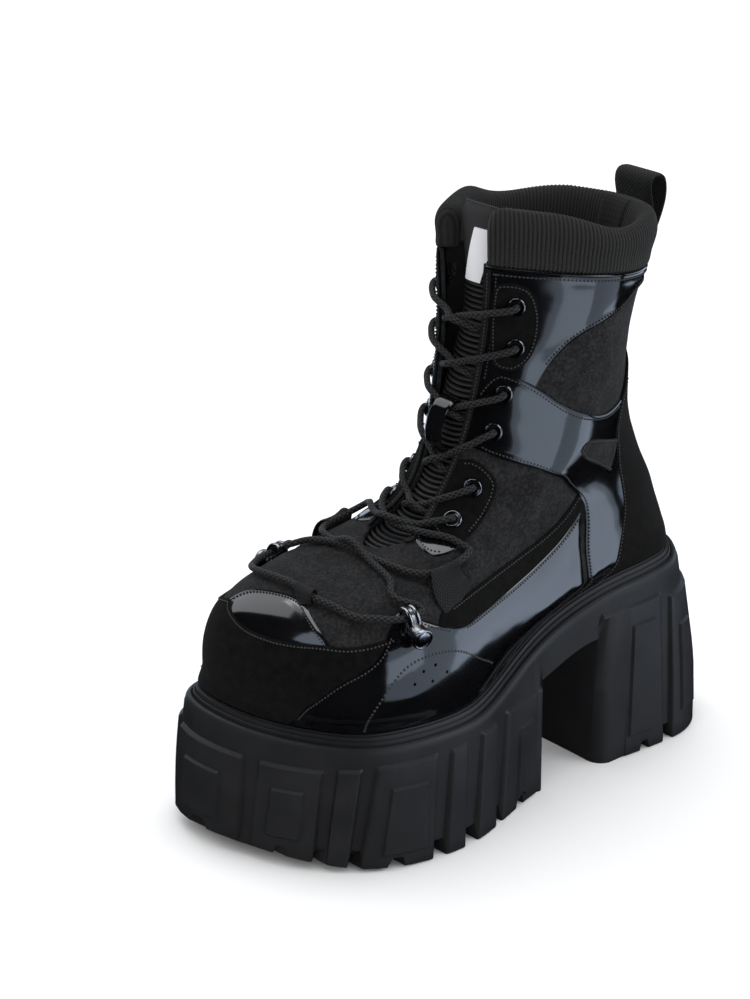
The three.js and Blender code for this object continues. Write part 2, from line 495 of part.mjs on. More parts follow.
function run(rows, s, lift) {   // a cord through places on the sections, lift above the outside
  const C = fit(rows.map(([v, p, up]) => [v, s * p, up]), false), n = rows.length - 1;
  return solid(tube(range(0, n, n > 5 ? 8 : 6).map(u => { const [v, p, up] = at(C, u, false); return v3(skin(v, p)).addScaledVector(normal(v, p).multiplyScalar(SIDE), lift + up); }), CORD / 2));
}
const VAMP_RUN = [              // from a hook across the vamp to the opposite loop
  // v     p     above the vamp
  [4.25,  1.36, 1.0],
  [4.75,  1.18, 0],
  [5.25,  0.85, 0],
  [5.62,  0.42, 0],
  [5.72,  0.00, 0],
  [5.55, -0.60, 0],
  [5.25, -1.10, 0.4],
  [5.02, -1.34, 1.0]];
const LOW_RUN = [               // from a loop to the opposite lowest eyelet
  [5.42,  1.62, 0.8],
  [5.90,  1.50, 0.2],
  [6.35,  1.10, 0.2],
  [6.62,  0.60, 0.6],
  [6.70,  0.00, 0.6],
  [6.76, -0.50, 0.9],
  [6.84, -0.82, 1.4]];
const TOE_RUN = [               // half of the bar between the hooks, up to the toe loop
  [3.62,  1.30, 2.2],
  [3.72,  1.12, 0.6],
  [3.90,  0.92, 0.2],
  [4.02,  0.80, 0.6]];
// ---------- lace hook ----------
function buildHook(s) {         // base plate, neck and capped barrel, turned in one piece about the skin's normal
  const c = v3(skin(HOOK.v, s * HOOK.p)), n = normal(HOOK.v, s * HOOK.p).multiplyScalar(SIDE), [a, b] = frame(n), k = 10, body = new Body();
  const P = [[0, GAP], [5, GAP], [5, 1.3], [3.2, 2.0], [2.2, 3.2], [2.2, 6.6], [4.4, 7.4], [4.6, 8.4], [3.4, 9.6], [0, 10]];
  body.grid(P.map(([r, z]) => range(0, 2 * Math.PI, k).slice(0, k).map(t => c.clone().addScaledVector(n, z).addScaledVector(a, r * Math.cos(t)).addScaledVector(b, r * Math.sin(t)).toArray())), false, true);
  return body;
}
function buildLoop(v, p, dirP, dirV, len, w) { // flat webbing loop lying on the skin, its eye across dir
  const c = v3(skin(v, p)), n = normal(v, p).multiplyScalar(SIDE);
  const d = v3(skin(v + dirV * 0.05, p + dirP * 0.05)).sub(c).normalize(), q = n.clone().cross(d).normalize();
  const O = [[0, 0.6], [len * 0.4, 0.6], [len * 0.8, 0.8], [len, 2.4], [len * 0.98, 4.6], [len * 0.8, 6.3], [len * 0.4, 5.2], [0, 3.4]];
  const P = O.map(([s, t]) => c.clone().addScaledVector(d, s).addScaledVector(n, t + 0.6));
  return strap(P.map(x => x.toArray()), w, 1.0, q);
}
function buildKeeper() {        // small patent loop on the tongue, over the crossing between the third and fourth rows
  const v = 9.1, c = v3(tonguePoint(v, 0, 0)), up = v3(tonguePoint(v + 0.2, 0, 0)).sub(v3(tonguePoint(v - 0.2, 0, 0))).normalize();
  const n = normal(v, 0).multiplyScalar(SIDE), P = [];
  for (const [s, z] of [[-13, 1.0], [-12.4, 4.6], [-9.8, 8.8], [-3.5, 10.8], [3.5, 10.8], [9.8, 8.8], [12.4, 4.6], [13, 1.0]])
    P.push(c.clone().addScaledVector(up, s).addScaledVector(n, z).toArray());
  return strap(P, 10, 1.0, [1, 0, 0]);
}

// ---------- assembly ----------
const group = new THREE.Group();
const boot = new THREE.Group();
boot.position.set(-CENTRE_X, -CENTRE_Y, 0);
group.add(boot);
const MAT = {
  rubber: { color: 0x1f2022, roughness: 0.62, metalness: 0 },
  nubuck: { color: 0x242528, roughness: 0.9, metalness: 0 },
  suede: { color: 0x0b0b0c, roughness: 0.96, metalness: 0 },
  patent: { color: 0x0c0d10, roughness: 0.12, metalness: 0 },
  knit: { color: 0x1b1c1e, roughness: 0.95, metalness: 0 },
  lining: { color: 0x161618, roughness: 0.9, metalness: 0 },
  webbing: { color: 0x101113, roughness: 0.85, metalness: 0 },
  cord: { color: 0x151618, roughness: 0.8, metalness: 0 },
  gunmetal: { color: 0x2a2c30, roughness: 0.25, metalness: 1 },
};
function add(name, geo, mat) {
  const m = new THREE.Mesh(geo instanceof Body ? geo.geometry() : geo instanceof THREE.BufferGeometry ? geo : fromSolid(geo), new THREE.MeshStandardMaterial(MAT[mat]));
  m.name = name;
  boot.add(m);
}
add('sole', buildSole(), 'rubber');
add('upper', buildUpper(), 'nubuck');
add('insole', buildInsole(), 'lining');
add('tongue', buildTongue(), 'knit');
add('collar', buildCollar(), 'knit');
add('pull_loop', buildPullLoop(), 'webbing');
for (const [s, side] of [[1, 'lateral'], [-1, 'medial']]) {
  EYELETS.forEach((e, i) => add(`eyelet_${side}_${i + 1}`, buildEyelet(e, s), 'gunmetal'));
  add(`hook_${side}`, buildHook(s), 'gunmetal');
}
add('keeper_loop', buildKeeper(), 'patent');
add('loop_lateral', buildLoop(4.2, 2.02, -0.45, 0.9, 12, 12), 'webbing');
add('loop_medial', buildLoop(4.2, -2.02, 0.45, 0.9, 12, 12), 'webbing');
add('loop_toe', buildLoop(3.55, 0.42, 0.0001, 1, 10.5, 14), 'webbing');
for (const [s, side] of [[1, 'lateral'], [-1, 'medial']]) add(`lace_toe_${side}`, run(s > 0 ? TOE_RUN : TOE_RUN.map(([v, p, up], i) => [v, p - 0.9 * Math.min(1, i / 3) + 0.0, up]), s, CORD / 2 + 1), 'cord');
add('lace_vamp', run(VAMP_RUN, 1, CORD / 2 + 1).add(run(VAMP_RUN, -1, CORD / 2 + 1)), 'cord');
add('lace_low', run(LOW_RUN, 1, CORD / 2 + 1).add(run(LOW_RUN, -1, CORD / 2 + 1)), 'cord');
[[5, 4], [4, 3], [3, 2], [2, 1], [1, 0]].forEach(([lo, hi]) => add(`lace_cross_${hi + 1}`, crossing(lo, hi), 'cord'));

export default group;
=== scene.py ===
import bpy
import json
import math
import numpy as np
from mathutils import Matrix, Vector
from mathutils.geometry import delaunay_2d_cdt

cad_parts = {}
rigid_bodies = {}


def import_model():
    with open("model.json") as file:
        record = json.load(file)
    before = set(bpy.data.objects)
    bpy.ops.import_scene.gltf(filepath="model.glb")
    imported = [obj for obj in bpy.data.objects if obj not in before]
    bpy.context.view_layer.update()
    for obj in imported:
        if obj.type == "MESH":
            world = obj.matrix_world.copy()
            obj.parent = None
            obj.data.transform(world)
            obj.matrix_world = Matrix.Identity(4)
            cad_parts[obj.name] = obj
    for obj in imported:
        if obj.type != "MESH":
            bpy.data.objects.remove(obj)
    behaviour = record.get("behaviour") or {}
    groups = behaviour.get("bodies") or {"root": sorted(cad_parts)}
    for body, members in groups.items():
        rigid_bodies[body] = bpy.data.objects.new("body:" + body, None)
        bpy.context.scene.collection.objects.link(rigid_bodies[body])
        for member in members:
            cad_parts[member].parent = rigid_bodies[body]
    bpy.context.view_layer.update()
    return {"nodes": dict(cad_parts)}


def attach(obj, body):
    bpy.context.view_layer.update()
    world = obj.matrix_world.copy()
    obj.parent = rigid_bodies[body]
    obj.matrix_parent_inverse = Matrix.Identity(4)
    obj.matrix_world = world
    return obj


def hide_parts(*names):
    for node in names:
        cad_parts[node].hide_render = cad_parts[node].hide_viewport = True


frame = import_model()

# The boot's own frame: millimetres, toe -Y, lateral +X. OFF moves it to the row frame.
OFF = np.array([4.195, 1.455, 0.0])
LEDGE_FORE, LEDGE_RISE, LEDGE_INSET, HEEL_FLARE, TOE_SPRING, TOE_BULGE = 61, 31, 2.5, 12, 7, 4
LUG_PROUD, CHANNEL, NOTCH, ARCH_FRONT, ARCH_BACK = 3, 8, 4.5, 57, 68
BLOCK_END, BREAST, HEEL_CORNER, BLOCK_CORNER = 12, 49, 9, 3
DECK, GAP, WALL, FEATHER_IN, CORD, LOOP_Y = 4.5, 0.3, 2.0, 7.2, 4.0, 97.5
V_SEAM, V_TOP, NP = 12, 13, 10
rng = np.random.RandomState(7)

# ---------------------------------------------------------------- splines

def basis(t):
    return ((1 - t) ** 3 / 6, (3 * t ** 3 - 6 * t * t + 4) / 6, (-3 * t ** 3 + 3 * t * t + 3 * t + 1) / 6, t ** 3 / 6)


def fit(P, closed):
    P = np.asarray(P, float)
    C = P.copy()
    for _ in range(60):
        if closed:
            A, B = np.roll(C, 1, 0), np.roll(C, -1, 0)
        else:
            A = np.concatenate([2 * C[:1] - C[1:2], C[:-1]])
            B = np.concatenate([C[1:], 2 * C[-1:] - C[-2:-1]])
        C = C + (P - (A + 4 * C + B) / 6)
    return C


def at(C, u, closed):
    n, u = len(C), np.asarray(u, float)
    if closed:
        u = np.mod(u, n)
        i = np.floor(u).astype(int) % n
        t = u - np.floor(u)
        idx, E = [(i - 1) % n, i, (i + 1) % n, (i + 2) % n], C
    else:
        u = np.clip(u, 0, n - 1)
        i = np.minimum(np.floor(u).astype(int), n - 2)
        t = u - i
        E = np.concatenate([2 * C[:1] - C[1:2], C, 2 * C[-1:] - C[-2:-1]])
        idx = [i, i + 1, i + 2, i + 3]
    b = basis(t)
    return sum(E[k] * bb[..., None] for k, bb in zip(idx, b))


def sstep(a, b, x):
    t = np.clip((np.asarray(x, float) - a) / (b - a), 0, 1)
    return t * t * (3 - 2 * t)


def mix(a, b, t):
    return a + (b - a) * t


# ---------------------------------------------------------------- the last and the sole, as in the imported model

OUTLINE = fit([
    [-24, -140], [6, -134.5], [32, -120], [50.5, -98], [58.5, -64], [55.5, -36], [45.5, -7], [39.5, 22], [41.5, 55], [43.5, 90], [36.5, 121.5],
    [0, 143],
    [-36.5, 121.5], [-43.5, 90], [-42.5, 58], [-41, 25], [-47, -5], [-56, -38], [-61.5, -72], [-64.5, -106], [-53, -133.5]], True)
SECTIONS = fit([
    [-22, -130.5, 70.0, 120.0, 97.0, 0.0, 33, 50.0, 37.5, 29.0, 49, 53.0, 37.5, 29.0],
    [-22, -132.0, 82.0, 117.5, 108.0, 0.0, 34, 51.5, 38.5, 28.5, 50, 54.5, 38.5, 28.5],
    [-21, -131.0, 96.0, 113.0, 120.0, 0.1, 33, 50.5, 38.0, 27.5, 49, 53.0, 38.0, 27.5],
    [-19, -125.0, 110.0, 108.5, 132.0, 0.2, 31, 47.0, 36.5, 26.5, 45, 49.0, 36.5, 26.5],
    [-15, -110.0, 120.5, 102.0, 145.0, 0.4, 27, 41.0, 35.0, 25.0, 38, 43.0, 35.0, 25.0],
    [-10, -86.0, 127.0, 96.0, 158.0, 0.6, 23, 35.5, 34.0, 24.5, 30, 37.0, 34.0, 24.5],
    [-5, -60.0, 133.0, 91.5, 170.0, 0.8, 20, 31.5, 34.5, 24.5, 24, 32.5, 34.5, 24.5],
    [-2, -40.0, 143.0, 88.5, 181.0, 1.0, 18, 29.5, 35.5, 25.0, 20, 30.0, 35.5, 25.0],
    [0, -27.0, 160.0, 87.0, 192.0, 1.0, 17, 29.0, 36.5, 25.5, 18, 29.0, 36.5, 25.5],
    [0, -19.0, 182.0, 86.0, 204.0, 1.0, 17, 29.5, 38.0, 26.0, 17, 29.5, 38.0, 26.0],
    [0, -14.0, 207.0, 86.0, 217.0, 1.0, 18, 31.0, 40.0, 27.0, 18, 31.0, 40.0, 27.0],
    [0, -12.0, 232.0, 87.5, 230.0, 1.0, 18, 32.5, 42.0, 28.5, 18, 32.5, 42.0, 28.5],
    [0, -13.0, 262.0, 92.5, 246.0, 1.0, 19, 34.0, 44.0, 30.5, 19, 34.0, 44.0, 30.5],
    [0, -15.0, 288.0, 99.0, 270.0, 1.0, 20, 35.0, 45.5, 33.5, 20, 35.0, 45.5, 33.5]], False)
STATIONS = [0.07, 0.27, 0.55, 0.87]
FOOT_U = np.array([0, 2.35, 4.0, 6.4, 8.8, 11, 13.2, 15.65, 18.2, 19.45])
THROAT = fit([[5.95, 5.5], [6.4, 9.5], [7.2, 8.2], [8.0, 8.4], [9.0, 10.5], [10.5, 12.6], [12.0, 14.8], [13.6, 16.5]], False)
TONGUE_HALF = fit([[5.2, 17], [7.0, 24], [9.0, 25], [11.0, 25], [13.0, 25]], False)
TOE_U, HEEL_U = 0.72, 11


def spring(y):
    return TOE_SPRING * np.clip((-65 - y) / 75, 0, 1.3) ** 2


def ledge_z(y):
    return LEDGE_FORE + LEDGE_RISE * sstep(-45, 75, y) + 2.5 * sstep(-90, -140, y)


def ledge_in(y):
    return LEDGE_INSET + HEEL_FLARE * sstep(60, 140, y)


def arch_z(y):
    return mix(ARCH_FRONT, ARCH_BACK, sstep(BLOCK_END - 4, BREAST, y))


def outline_frame(u):
    p = at(OUTLINE, u, True)
    d = at(OUTLINE, np.asarray(u) + 0.01, True) - at(OUTLINE, np.asarray(u) - 0.01, True)
    l = np.hypot(d[..., 0], d[..., 1])
    return p, d[..., 1] / l, -d[..., 0] / l


def rim(u, inset, up):
    p, nx, ny = outline_frame(u)
    s = np.where(nx * p[..., 0] + ny * p[..., 1] < 0, -1, 1)
    d = ledge_in(p[..., 1]) + inset
    y = p[..., 1] - s * ny * d
    return np.stack([p[..., 0] - s * nx * d, y, ledge_z(y) + up], -1)


def wall(u, z, m, raised=0.0):
    p, nx, ny = outline_frame(u)
    s = np.where(nx * p[..., 0] + ny * (p[..., 1] + np.where(p[..., 1] > 0, -20, 20)) < 0, -1, 1)
    nx, ny, y = nx * s, ny * s, p[..., 1]
    zb = spring(y)
    f = np.clip((z - zb) / (ledge_z(y) - zb), 0, 1)
    tuck = 1.6 * sstep(90, 140, y) * (1 - sstep(0, 0.35, f))
    taper = f ** mix(1, 1.5, sstep(60, 120, y))
    bulge = TOE_BULGE * sstep(-80, -125, y) * sstep(10, -35, p[..., 0]) * (1 - f * f)
    d = mix(mix(LUG_PROUD, ledge_in(y), taper), mix(0, ledge_in(y) - 1.7, taper), m) + tuck - bulge - raised
    return np.stack([p[..., 0] - nx * d, y - ny * d, z + 0 * y], -1)


def foot_u(p):
    p = np.mod(p, 10)
    i = np.floor(p).astype(int)
    t = p - i
    g = lambda k: FOOT_U[np.mod(k, 10)] + np.floor(k / 10) * 21
    a, b, c, d = g(i - 1), g(i), g(i + 1), g(i + 2)
    return b + 0.5 * t * (c - a + t * (2 * a - 5 * b + 4 * c - d + t * (3 * (b - c) + d - a)))


_M = np.zeros((10, 10))
for _i in range(10):
    _M[_i, _i] = 4 / 6
    _M[_i, (_i - 1) % 10] += 1 / 6
    _M[_i, (_i + 1) % 10] += 1 / 6
_MI = np.linalg.inv(_M)


def skin(v, p):
    v, p = np.broadcast_arrays(np.asarray(v, float), np.asarray(p, float))
    shape, v, p = v.shape, v.ravel(), p.ravel()
    uv, inv = np.unique(v, return_inverse=True)
    r = at(SECTIONS, uv, False)
    xf, yf, zf, yb, zb = r[:, :5].T
    s, L = np.clip(r[:, 5], 0, 1), yb - yf
    ft = lambda y: sstep(-45, 75, y)
    a0, a1 = ft(yf), ft(yb)
    z = lambda t: zf + (zb - zf) * ((1 - s) * (ft(yf + t * L) - a0) / (a1 - a0 + 1e-9) + s * t)
    P = np.zeros((len(uv), 10, 3))
    P[:, 0] = np.c_[xf, yf, zf]
    for i, t in enumerate(STATIONS):
        P[:, 1 + i] = np.c_[r[:, 6 + i], yf + t * L, z(t)]
    P[:, 5] = np.c_[0 * yb, yb, zb]
    for k, i in enumerate([3, 2, 1, 0]):
        P[:, 6 + k] = np.c_[-r[:, 10 + i], yf + STATIONS[i] * L, z(STATIONS[i])]
    C = np.einsum('ij,njk->nik', _MI, P)[inv.ravel()]
    pp = np.mod(p, 10)
    i = np.floor(pp).astype(int) % 10
    b = basis(pp - np.floor(pp))
    n = np.arange(len(p))
    Q = sum(C[n, (i + k - 1) % 10] * b[k][:, None] for k in range(4))
    w = sstep(0, 1.0, v)[:, None]
    q = rim(foot_u(p), FEATHER_IN, DECK + 1.5 * GAP)
    q[:, 2] += v * 11.5
    return (q * (1 - w) + Q * w).reshape(shape + (3,))


def normal(v, p):
    e = .02
    v, p = np.broadcast_arrays(np.asarray(v, float), np.asarray(p, float))
    a = skin(v, p + e) - skin(v, p - e)
    b = skin(np.minimum(13, v + e), p) - skin(np.maximum(0, np.minimum(v, 13) - e), p)
    n = np.cross(a, b)
    n /= np.linalg.norm(n, axis=-1)[..., None]
    n[..., 2] *= np.clip(v / .3, 0, 1)
    n /= np.linalg.norm(n, axis=-1)[..., None]
    return n * SIDE


SIDE = 1
SIDE = 1 if normal(6, 2.5)[0] * skin(6, 2.5)[0] > 0 else -1

_tm = at(THROAT, np.linspace(0, 7, 600), False)


def throat_half(v):
    return np.interp(v, _tm[:, 0], _tm[:, 1])


def p_at_x(v, x):
    v, x = np.broadcast_arrays(np.asarray(v, float), np.asarray(x, float))
    s = np.where(x < 0, -1.0, 1.0)
    lo, hi = np.zeros(v.shape), np.full(v.shape, 2.2)
    for _ in range(26):
        m = (lo + hi) / 2
        less = s * skin(v, s * m)[..., 0] < s * x
        lo, hi = np.where(less, m, lo), np.where(less, hi, m)
    return s * lo


_tv = np.linspace(5.9, 13, 300)
_tp = p_at_x(_tv, throat_half(_tv))


def edge_p(v):
    """Place of the lateral throat edge; the foot of the slit is rounded."""
    v = np.asarray(v, float)
    return np.interp(v, _tv, _tp) * np.sqrt(np.clip((v - 5.95) / 0.4, 0, 1))


CREASES = [  # points (v, p), depth mm, width mm, both sides
    ([(5.73, 0.0), (5.62, 0.40), (5.50, 0.75), (5.15, 1.15), (4.85, 1.44), (4.45, 1.80)], 1.1, 3.0),
    ([(4.95, 0.2), (4.80, 0.65), (4.50, 1.1), (4.2, 1.5)], 0.5, 3.6),
    ([(7.2, 2.1), (6.4, 2.5), (5.6, 2.9)], 0.5, 5.0),
]


def densify(path, n=40, closed=False):
    P = np.asarray(path, float)
    C = fit(P, closed)
    u = np.linspace(0, len(P) - (0 if closed else 1), n, endpoint=not closed)
    return at(C, u, closed)


_creases = []
for pts, depth, width in CREASES:
    d = densify(pts, 60)
    for s in (1, -1):
        _creases.append((skin(d[:, 0], s * d[:, 1]), depth, width))


def relief(P):
    """Flex creases at the listed places, and a slight unevenness of the leather, as height along the normal."""
    flat = P.reshape(-1, 3)
    h = np.zeros(len(flat))
    for C, depth, width in _creases:
        d2 = np.full(len(flat), 1e9)
        for c in C:
            d2 = np.minimum(d2, ((flat - c) ** 2).sum(-1))
        d = np.sqrt(d2)
        h += -depth * np.exp(-(d / (width * 0.45)) ** 2) + 0.45 * depth * np.exp(-((d - width * 1.1) / (width * 0.7)) ** 2)
    q = flat / 1000
    h += 0.055 * np.sin(q[:, 0] * 310 + 2.0 * np.sin(q[:, 2] * 170)) * np.sin(q[:, 1] * 230 + 1.3) + 0.035 * np.sin(q[:, 2] * 390 + 3 * np.sin(q[:, 1] * 120))
    return h.reshape(P.shape[:-1])


def shell(v, p, off, bumpy=1.0):
    P, n = skin(v, p), normal(v, p)
    o = np.asarray(off, float) + (relief(P) * bumpy if bumpy else 0)
    return P + n * np.broadcast_to(o, P.shape[:-1])[..., None]


# ---------------------------------------------------------------- materials

def new_mat(name):
    m = bpy.data.materials.new(name)
    m.use_nodes = True
    nt = m.node_tree
    return m, nt, nt.nodes["Principled BSDF"]


def node(nt, kind, **kw):
    n = nt.nodes.new(kind)
    for k, val in kw.items():
        if k in n.inputs:
            n.inputs[k].default_value = val
        else:
            setattr(n, k, val)
    return n


def coords(nt, kind="Object", scale=(1, 1, 1)):
    tc = nt.nodes.new("ShaderNodeTexCoord")
    mp = nt.nodes.new("ShaderNodeMapping")
    mp.inputs["Scale"].default_value = scale
    nt.links.new(tc.outputs[kind], mp.inputs["Vector"])
    return mp.outputs["Vector"]


def noise(nt, vec, scale, detail=3.0, rough=0.5):
    n = node(nt, "ShaderNodeTexNoise", Scale=scale, Detail=detail, Roughness=rough)
    nt.links.new(vec, n.inputs["Vector"])
    return n.outputs["Fac"]


def math_node(nt, op, a, b=None, c=None):
    n = nt.nodes.new("ShaderNodeMath")
    n.operation = op
    for i, x in enumerate((a, b, c)):
        if x is None:
            continue
        if isinstance(x, (int, float)):
            n.inputs[i].default_value = x
        else:
            nt.links.new(x, n.inputs[i])
    return n.outputs[0]


def ramp(nt, fac, stops):
    r = nt.nodes.new("ShaderNodeValToRGB")
    e = r.color_ramp.elements
    while len(e) < len(stops):
        e.new(0.5)
    for el, (pos, col) in zip(e, stops):
        el.position = pos
        el.color = (*col, 1) if len(col) == 3 else col
    nt.links.new(fac, r.inputs["Fac"])
    return r.outputs["Color"]


def bump(nt, height, strength, dist, prev=None):
    b = node(nt, "ShaderNodeBump", Strength=strength, Distance=dist)
    nt.links.new(height, b.inputs["Height"])
    if prev is not None:
        nt.links.new(prev, b.inputs["Normal"])
    return b.outputs["Normal"]


def grey(x, tint=(1, 1, 1.06)):
    return tuple(x * t for t in tint)


def mat_nubuck():
    m, nt, b = new_mat("nubuck")
    vec = coords(nt)
    big, mid, fine = noise(nt, vec, 95, 4), noise(nt, vec, 650, 4, 0.65), noise(nt, vec, 1900, 3)
    mixed = math_node(nt, "ADD", math_node(nt, "MULTIPLY", big, 0.22), math_node(nt, "ADD", math_node(nt, "MULTIPLY", mid, 0.5), math_node(nt, "MULTIPLY", fine, 0.28)))
    nt.links.new(ramp(nt, mixed, [(0.41, grey(0.0050)), (0.50, grey(0.0105)), (0.58, grey(0.0215))]), b.inputs["Base Color"])
    b.inputs["Roughness"].default_value = 0.86
    b.inputs["Specular IOR Level"].default_value = 0.22
    b.inputs["Sheen Weight"].default_value = 0.03
    b.inputs["Sheen Roughness"].default_value = 0.5
    n1 = bump(nt, mid, 0.28, 0.0004)
    nt.links.new(bump(nt, fine, 0.5, 0.00025, n1), b.inputs["Normal"])
    return m


def mat_suede():
    m, nt, b = new_mat("suede")
    vec = coords(nt)
    mid, fine = noise(nt, vec, 260, 3), noise(nt, vec, 2600, 4, 0.7)
    mixed = math_node(nt, "ADD", math_node(nt, "MULTIPLY", mid, 0.4), math_node(nt, "MULTIPLY", fine, 0.6))
    nt.links.new(ramp(nt, mixed, [(0.35, grey(0.0016, (1, 1, 1))), (0.65, grey(0.0062, (1, 1, 1)))]), b.inputs["Base Color"])
    b.inputs["Roughness"].default_value = 1.0
    b.inputs["Specular IOR Level"].default_value = 0.08
    b.inputs["Sheen Weight"].default_value = 0.02
    nt.links.new(bump(nt, fine, 0.6, 0.0003), b.inputs["Normal"])
    return m


def mat_patent():
    m, nt, b = new_mat("patent")
    vec = coords(nt)
    wave, pore = noise(nt, vec, 38, 2), noise(nt, vec, 900, 2)
    nt.links.new(ramp(nt, wave, [(0.3, grey(0.0022, (1, 1.04, 1.25))), (0.7, grey(0.0042, (1, 1.04, 1.25)))]), b.inputs["Base Color"])
    r = math_node(nt, "MULTIPLY_ADD", wave, 0.06, 0.09)
    nt.links.new(r, b.inputs["Roughness"])
    b.inputs["IOR"].default_value = 1.52
    b.inputs["Coat Weight"].default_value = 1.0
    b.inputs["Coat Roughness"].default_value = 0.075
    b.inputs["Coat IOR"].default_value = 1.55
    n1 = bump(nt, wave, 0.16, 0.0012)
    nt.links.new(bump(nt, pore, 0.05, 0.0001, n1), b.inputs["Normal"])
    return m


def mat_rubber():
    m, nt, b = new_mat("rubber")
    vec = coords(nt)
    cloud, fine = noise(nt, vec, 45, 4), noise(nt, vec, 1500, 3)
    nt.links.new(ramp(nt, cloud, [(0.3, grey(0.0135, (1, 1.02, 1.12))), (0.7, grey(0.0185, (1, 1.02, 1.12)))]), b.inputs["Base Color"])
    nt.links.new(math_node(nt, "MULTIPLY_ADD", cloud, 0.14, 0.40), b.inputs["Roughness"])
    b.inputs["Specular IOR Level"].default_value = 0.42
    nt.links.new(bump(nt, fine, 0.12, 0.0001), b.inputs["Normal"])
    return m


def mat_knit(name, dark=0.009, light=0.021, rows=1.0):
    """Rib knit: the ribs are in the mesh; the yarn's V stitches run along them in uv, u across the ribs, v along."""
    m, nt, b = new_mat(name)
    tc = nt.nodes.new("ShaderNodeTexCoord")
    sep = nt.nodes.new("ShaderNodeSeparateXYZ")
    nt.links.new(tc.outputs["UV"], sep.inputs[0])
    u, v = sep.outputs[0], sep.outputs[1]
    vec = coords(nt)
    fine = noise(nt, vec, 2200, 3)
    zig = math_node(nt, "PINGPONG", math_node(nt, "MULTIPLY", u, 1.0), 0.5)
    ph = math_node(nt, "ADD", math_node(nt, "MULTIPLY", v, 6.2832 * rows), math_node(nt, "MULTIPLY", zig, 5.5))
    st = math_node(nt, "MULTIPLY_ADD", math_node(nt, "SINE", ph), 0.5, 0.5)
    yarn = math_node(nt, "ADD", math_node(nt, "MULTIPLY", st, 0.35), math_node(nt, "MULTIPLY", fine, 0.65))
    # painted shade: the colour is darkened towards the rib valleys and lightened on the crests, in step with the ribs
    # in the mesh
    painted_rib_shading = math_node(nt, "ABSOLUTE", math_node(nt, "COSINE", math_node(nt, "MULTIPLY", u, math.pi)), 0)
    mixed = math_node(nt, "MULTIPLY", yarn, math_node(nt, "MULTIPLY_ADD", painted_rib_shading, 0.75, 0.45))
    nt.links.new(ramp(nt, mixed, [(0.2, grey(dark, (1, 1, 1.02))), (0.8, grey(light, (1, 1, 1.02)))]), b.inputs["Base Color"])
    b.inputs["Roughness"].default_value = 0.95
    b.inputs["Specular IOR Level"].default_value = 0.18
    b.inputs["Sheen Weight"].default_value = 0.05
    b.inputs["Sheen Roughness"].default_value = 0.6
    nt.links.new(bump(nt, mixed, 0.5, 0.0004), b.inputs["Normal"])
    return m


def mat_rib():
    m, nt, b = new_mat("ribbed")
    tc = nt.nodes.new("ShaderNodeTexCoord")
    sep = nt.nodes.new("ShaderNodeSeparateXYZ")
    nt.links.new(tc.outputs["UV"], sep.inputs[0])
    # painted highlight and painted shade: the colour is lightest on the rib crests and darkest in the valleys, in step
    # with the ribs in the mesh
    painted_rib_shading = math_node(nt, "ABSOLUTE", math_node(nt, "SINE", math_node(nt, "MULTIPLY", sep.outputs[1], math.pi)), 0)
    fine = noise(nt, coords(nt), 2200, 3)
    mixed = math_node(nt, "ADD", math_node(nt, "MULTIPLY", painted_rib_shading, 0.75), math_node(nt, "MULTIPLY", fine, 0.25))
    nt.links.new(ramp(nt, mixed, [(0.25, grey(0.0018)), (0.62, grey(0.010)), (0.92, grey(0.034))]), b.inputs["Base Color"])
    b.inputs["Roughness"].default_value = 0.7
    b.inputs["Specular IOR Level"].default_value = 0.4
    nt.links.new(bump(nt, fine, 0.4, 0.0003), b.inputs["Normal"])
    return m


def mat_weave(name, dark=0.004, light=0.016, rough=0.8, diag=False, sheen=0.05, depth=0.0005):
    """Woven tape or braided cord, in uv counted in threads."""
    m, nt, b = new_mat(name)
    tc = nt.nodes.new("ShaderNodeTexCoord")
    sep = nt.nodes.new("ShaderNodeSeparateXYZ")
    nt.links.new(tc.outputs["UV"], sep.inputs[0])
    u, v = sep.outputs[0], sep.outputs[1]
    if diag:
        a = math_node(nt, "ADD", u, v)
        c = math_node(nt, "SUBTRACT", u, v)
    else:
        a, c = u, v
    # painted shade: the colour follows the weave, light on the thread crowns and dark in the gaps between threads
    sa = math_node(nt, "SINE", math_node(nt, "MULTIPLY", a, math.pi))
    sc = math_node(nt, "SINE", math_node(nt, "MULTIPLY", c, math.pi))
    w = math_node(nt, "MULTIPLY_ADD", math_node(nt, "MULTIPLY", sa, sc), 0.5, 0.5)
    fine = noise(nt, coords(nt), 2600, 2)
    mixed = math_node(nt, "ADD", math_node(nt, "MULTIPLY", w, 0.7), math_node(nt, "MULTIPLY", fine, 0.3))
    nt.links.new(ramp(nt, mixed, [(0.2, grey(dark, (1, 1, 1.04))), (0.8, grey(light, (1, 1, 1.04)))]), b.inputs["Base Color"])
    b.inputs["Roughness"].default_value = rough
    b.inputs["Specular IOR Level"].default_value = 0.3
    b.inputs["Sheen Weight"].default_value = sheen
    nt.links.new(bump(nt, mixed, 0.7, depth), b.inputs["Normal"])
    return m


def mat_metal(name, base, rough):
    m, nt, b = new_mat(name)
    vec = coords(nt)
    n = noise(nt, vec, 240, 3)
    nt.links.new(ramp(nt, n, [(0.3, tuple(c * 0.85 for c in base)), (0.7, base)]), b.inputs["Base Color"])
    b.inputs["Metallic"].default_value = 1.0
    nt.links.new(math_node(nt, "MULTIPLY_ADD", n, 0.08, rough), b.inputs["Roughness"])
    return m


def mat_plain(name, lo, hi, rough, scale=1200, spec=0.3, bump_d=0.0002):
    m, nt, b = new_mat(name)
    n = noise(nt, coords(nt), scale, 3)
    nt.links.new(ramp(nt, n, [(0.3, lo), (0.7, hi)]), b.inputs["Base Color"])
    b.inputs["Roughness"].default_value = rough
    b.inputs["Specular IOR Level"].default_value = spec
    nt.links.new(bump(nt, n, 0.4, bump_d), b.inputs["Normal"])
    return m


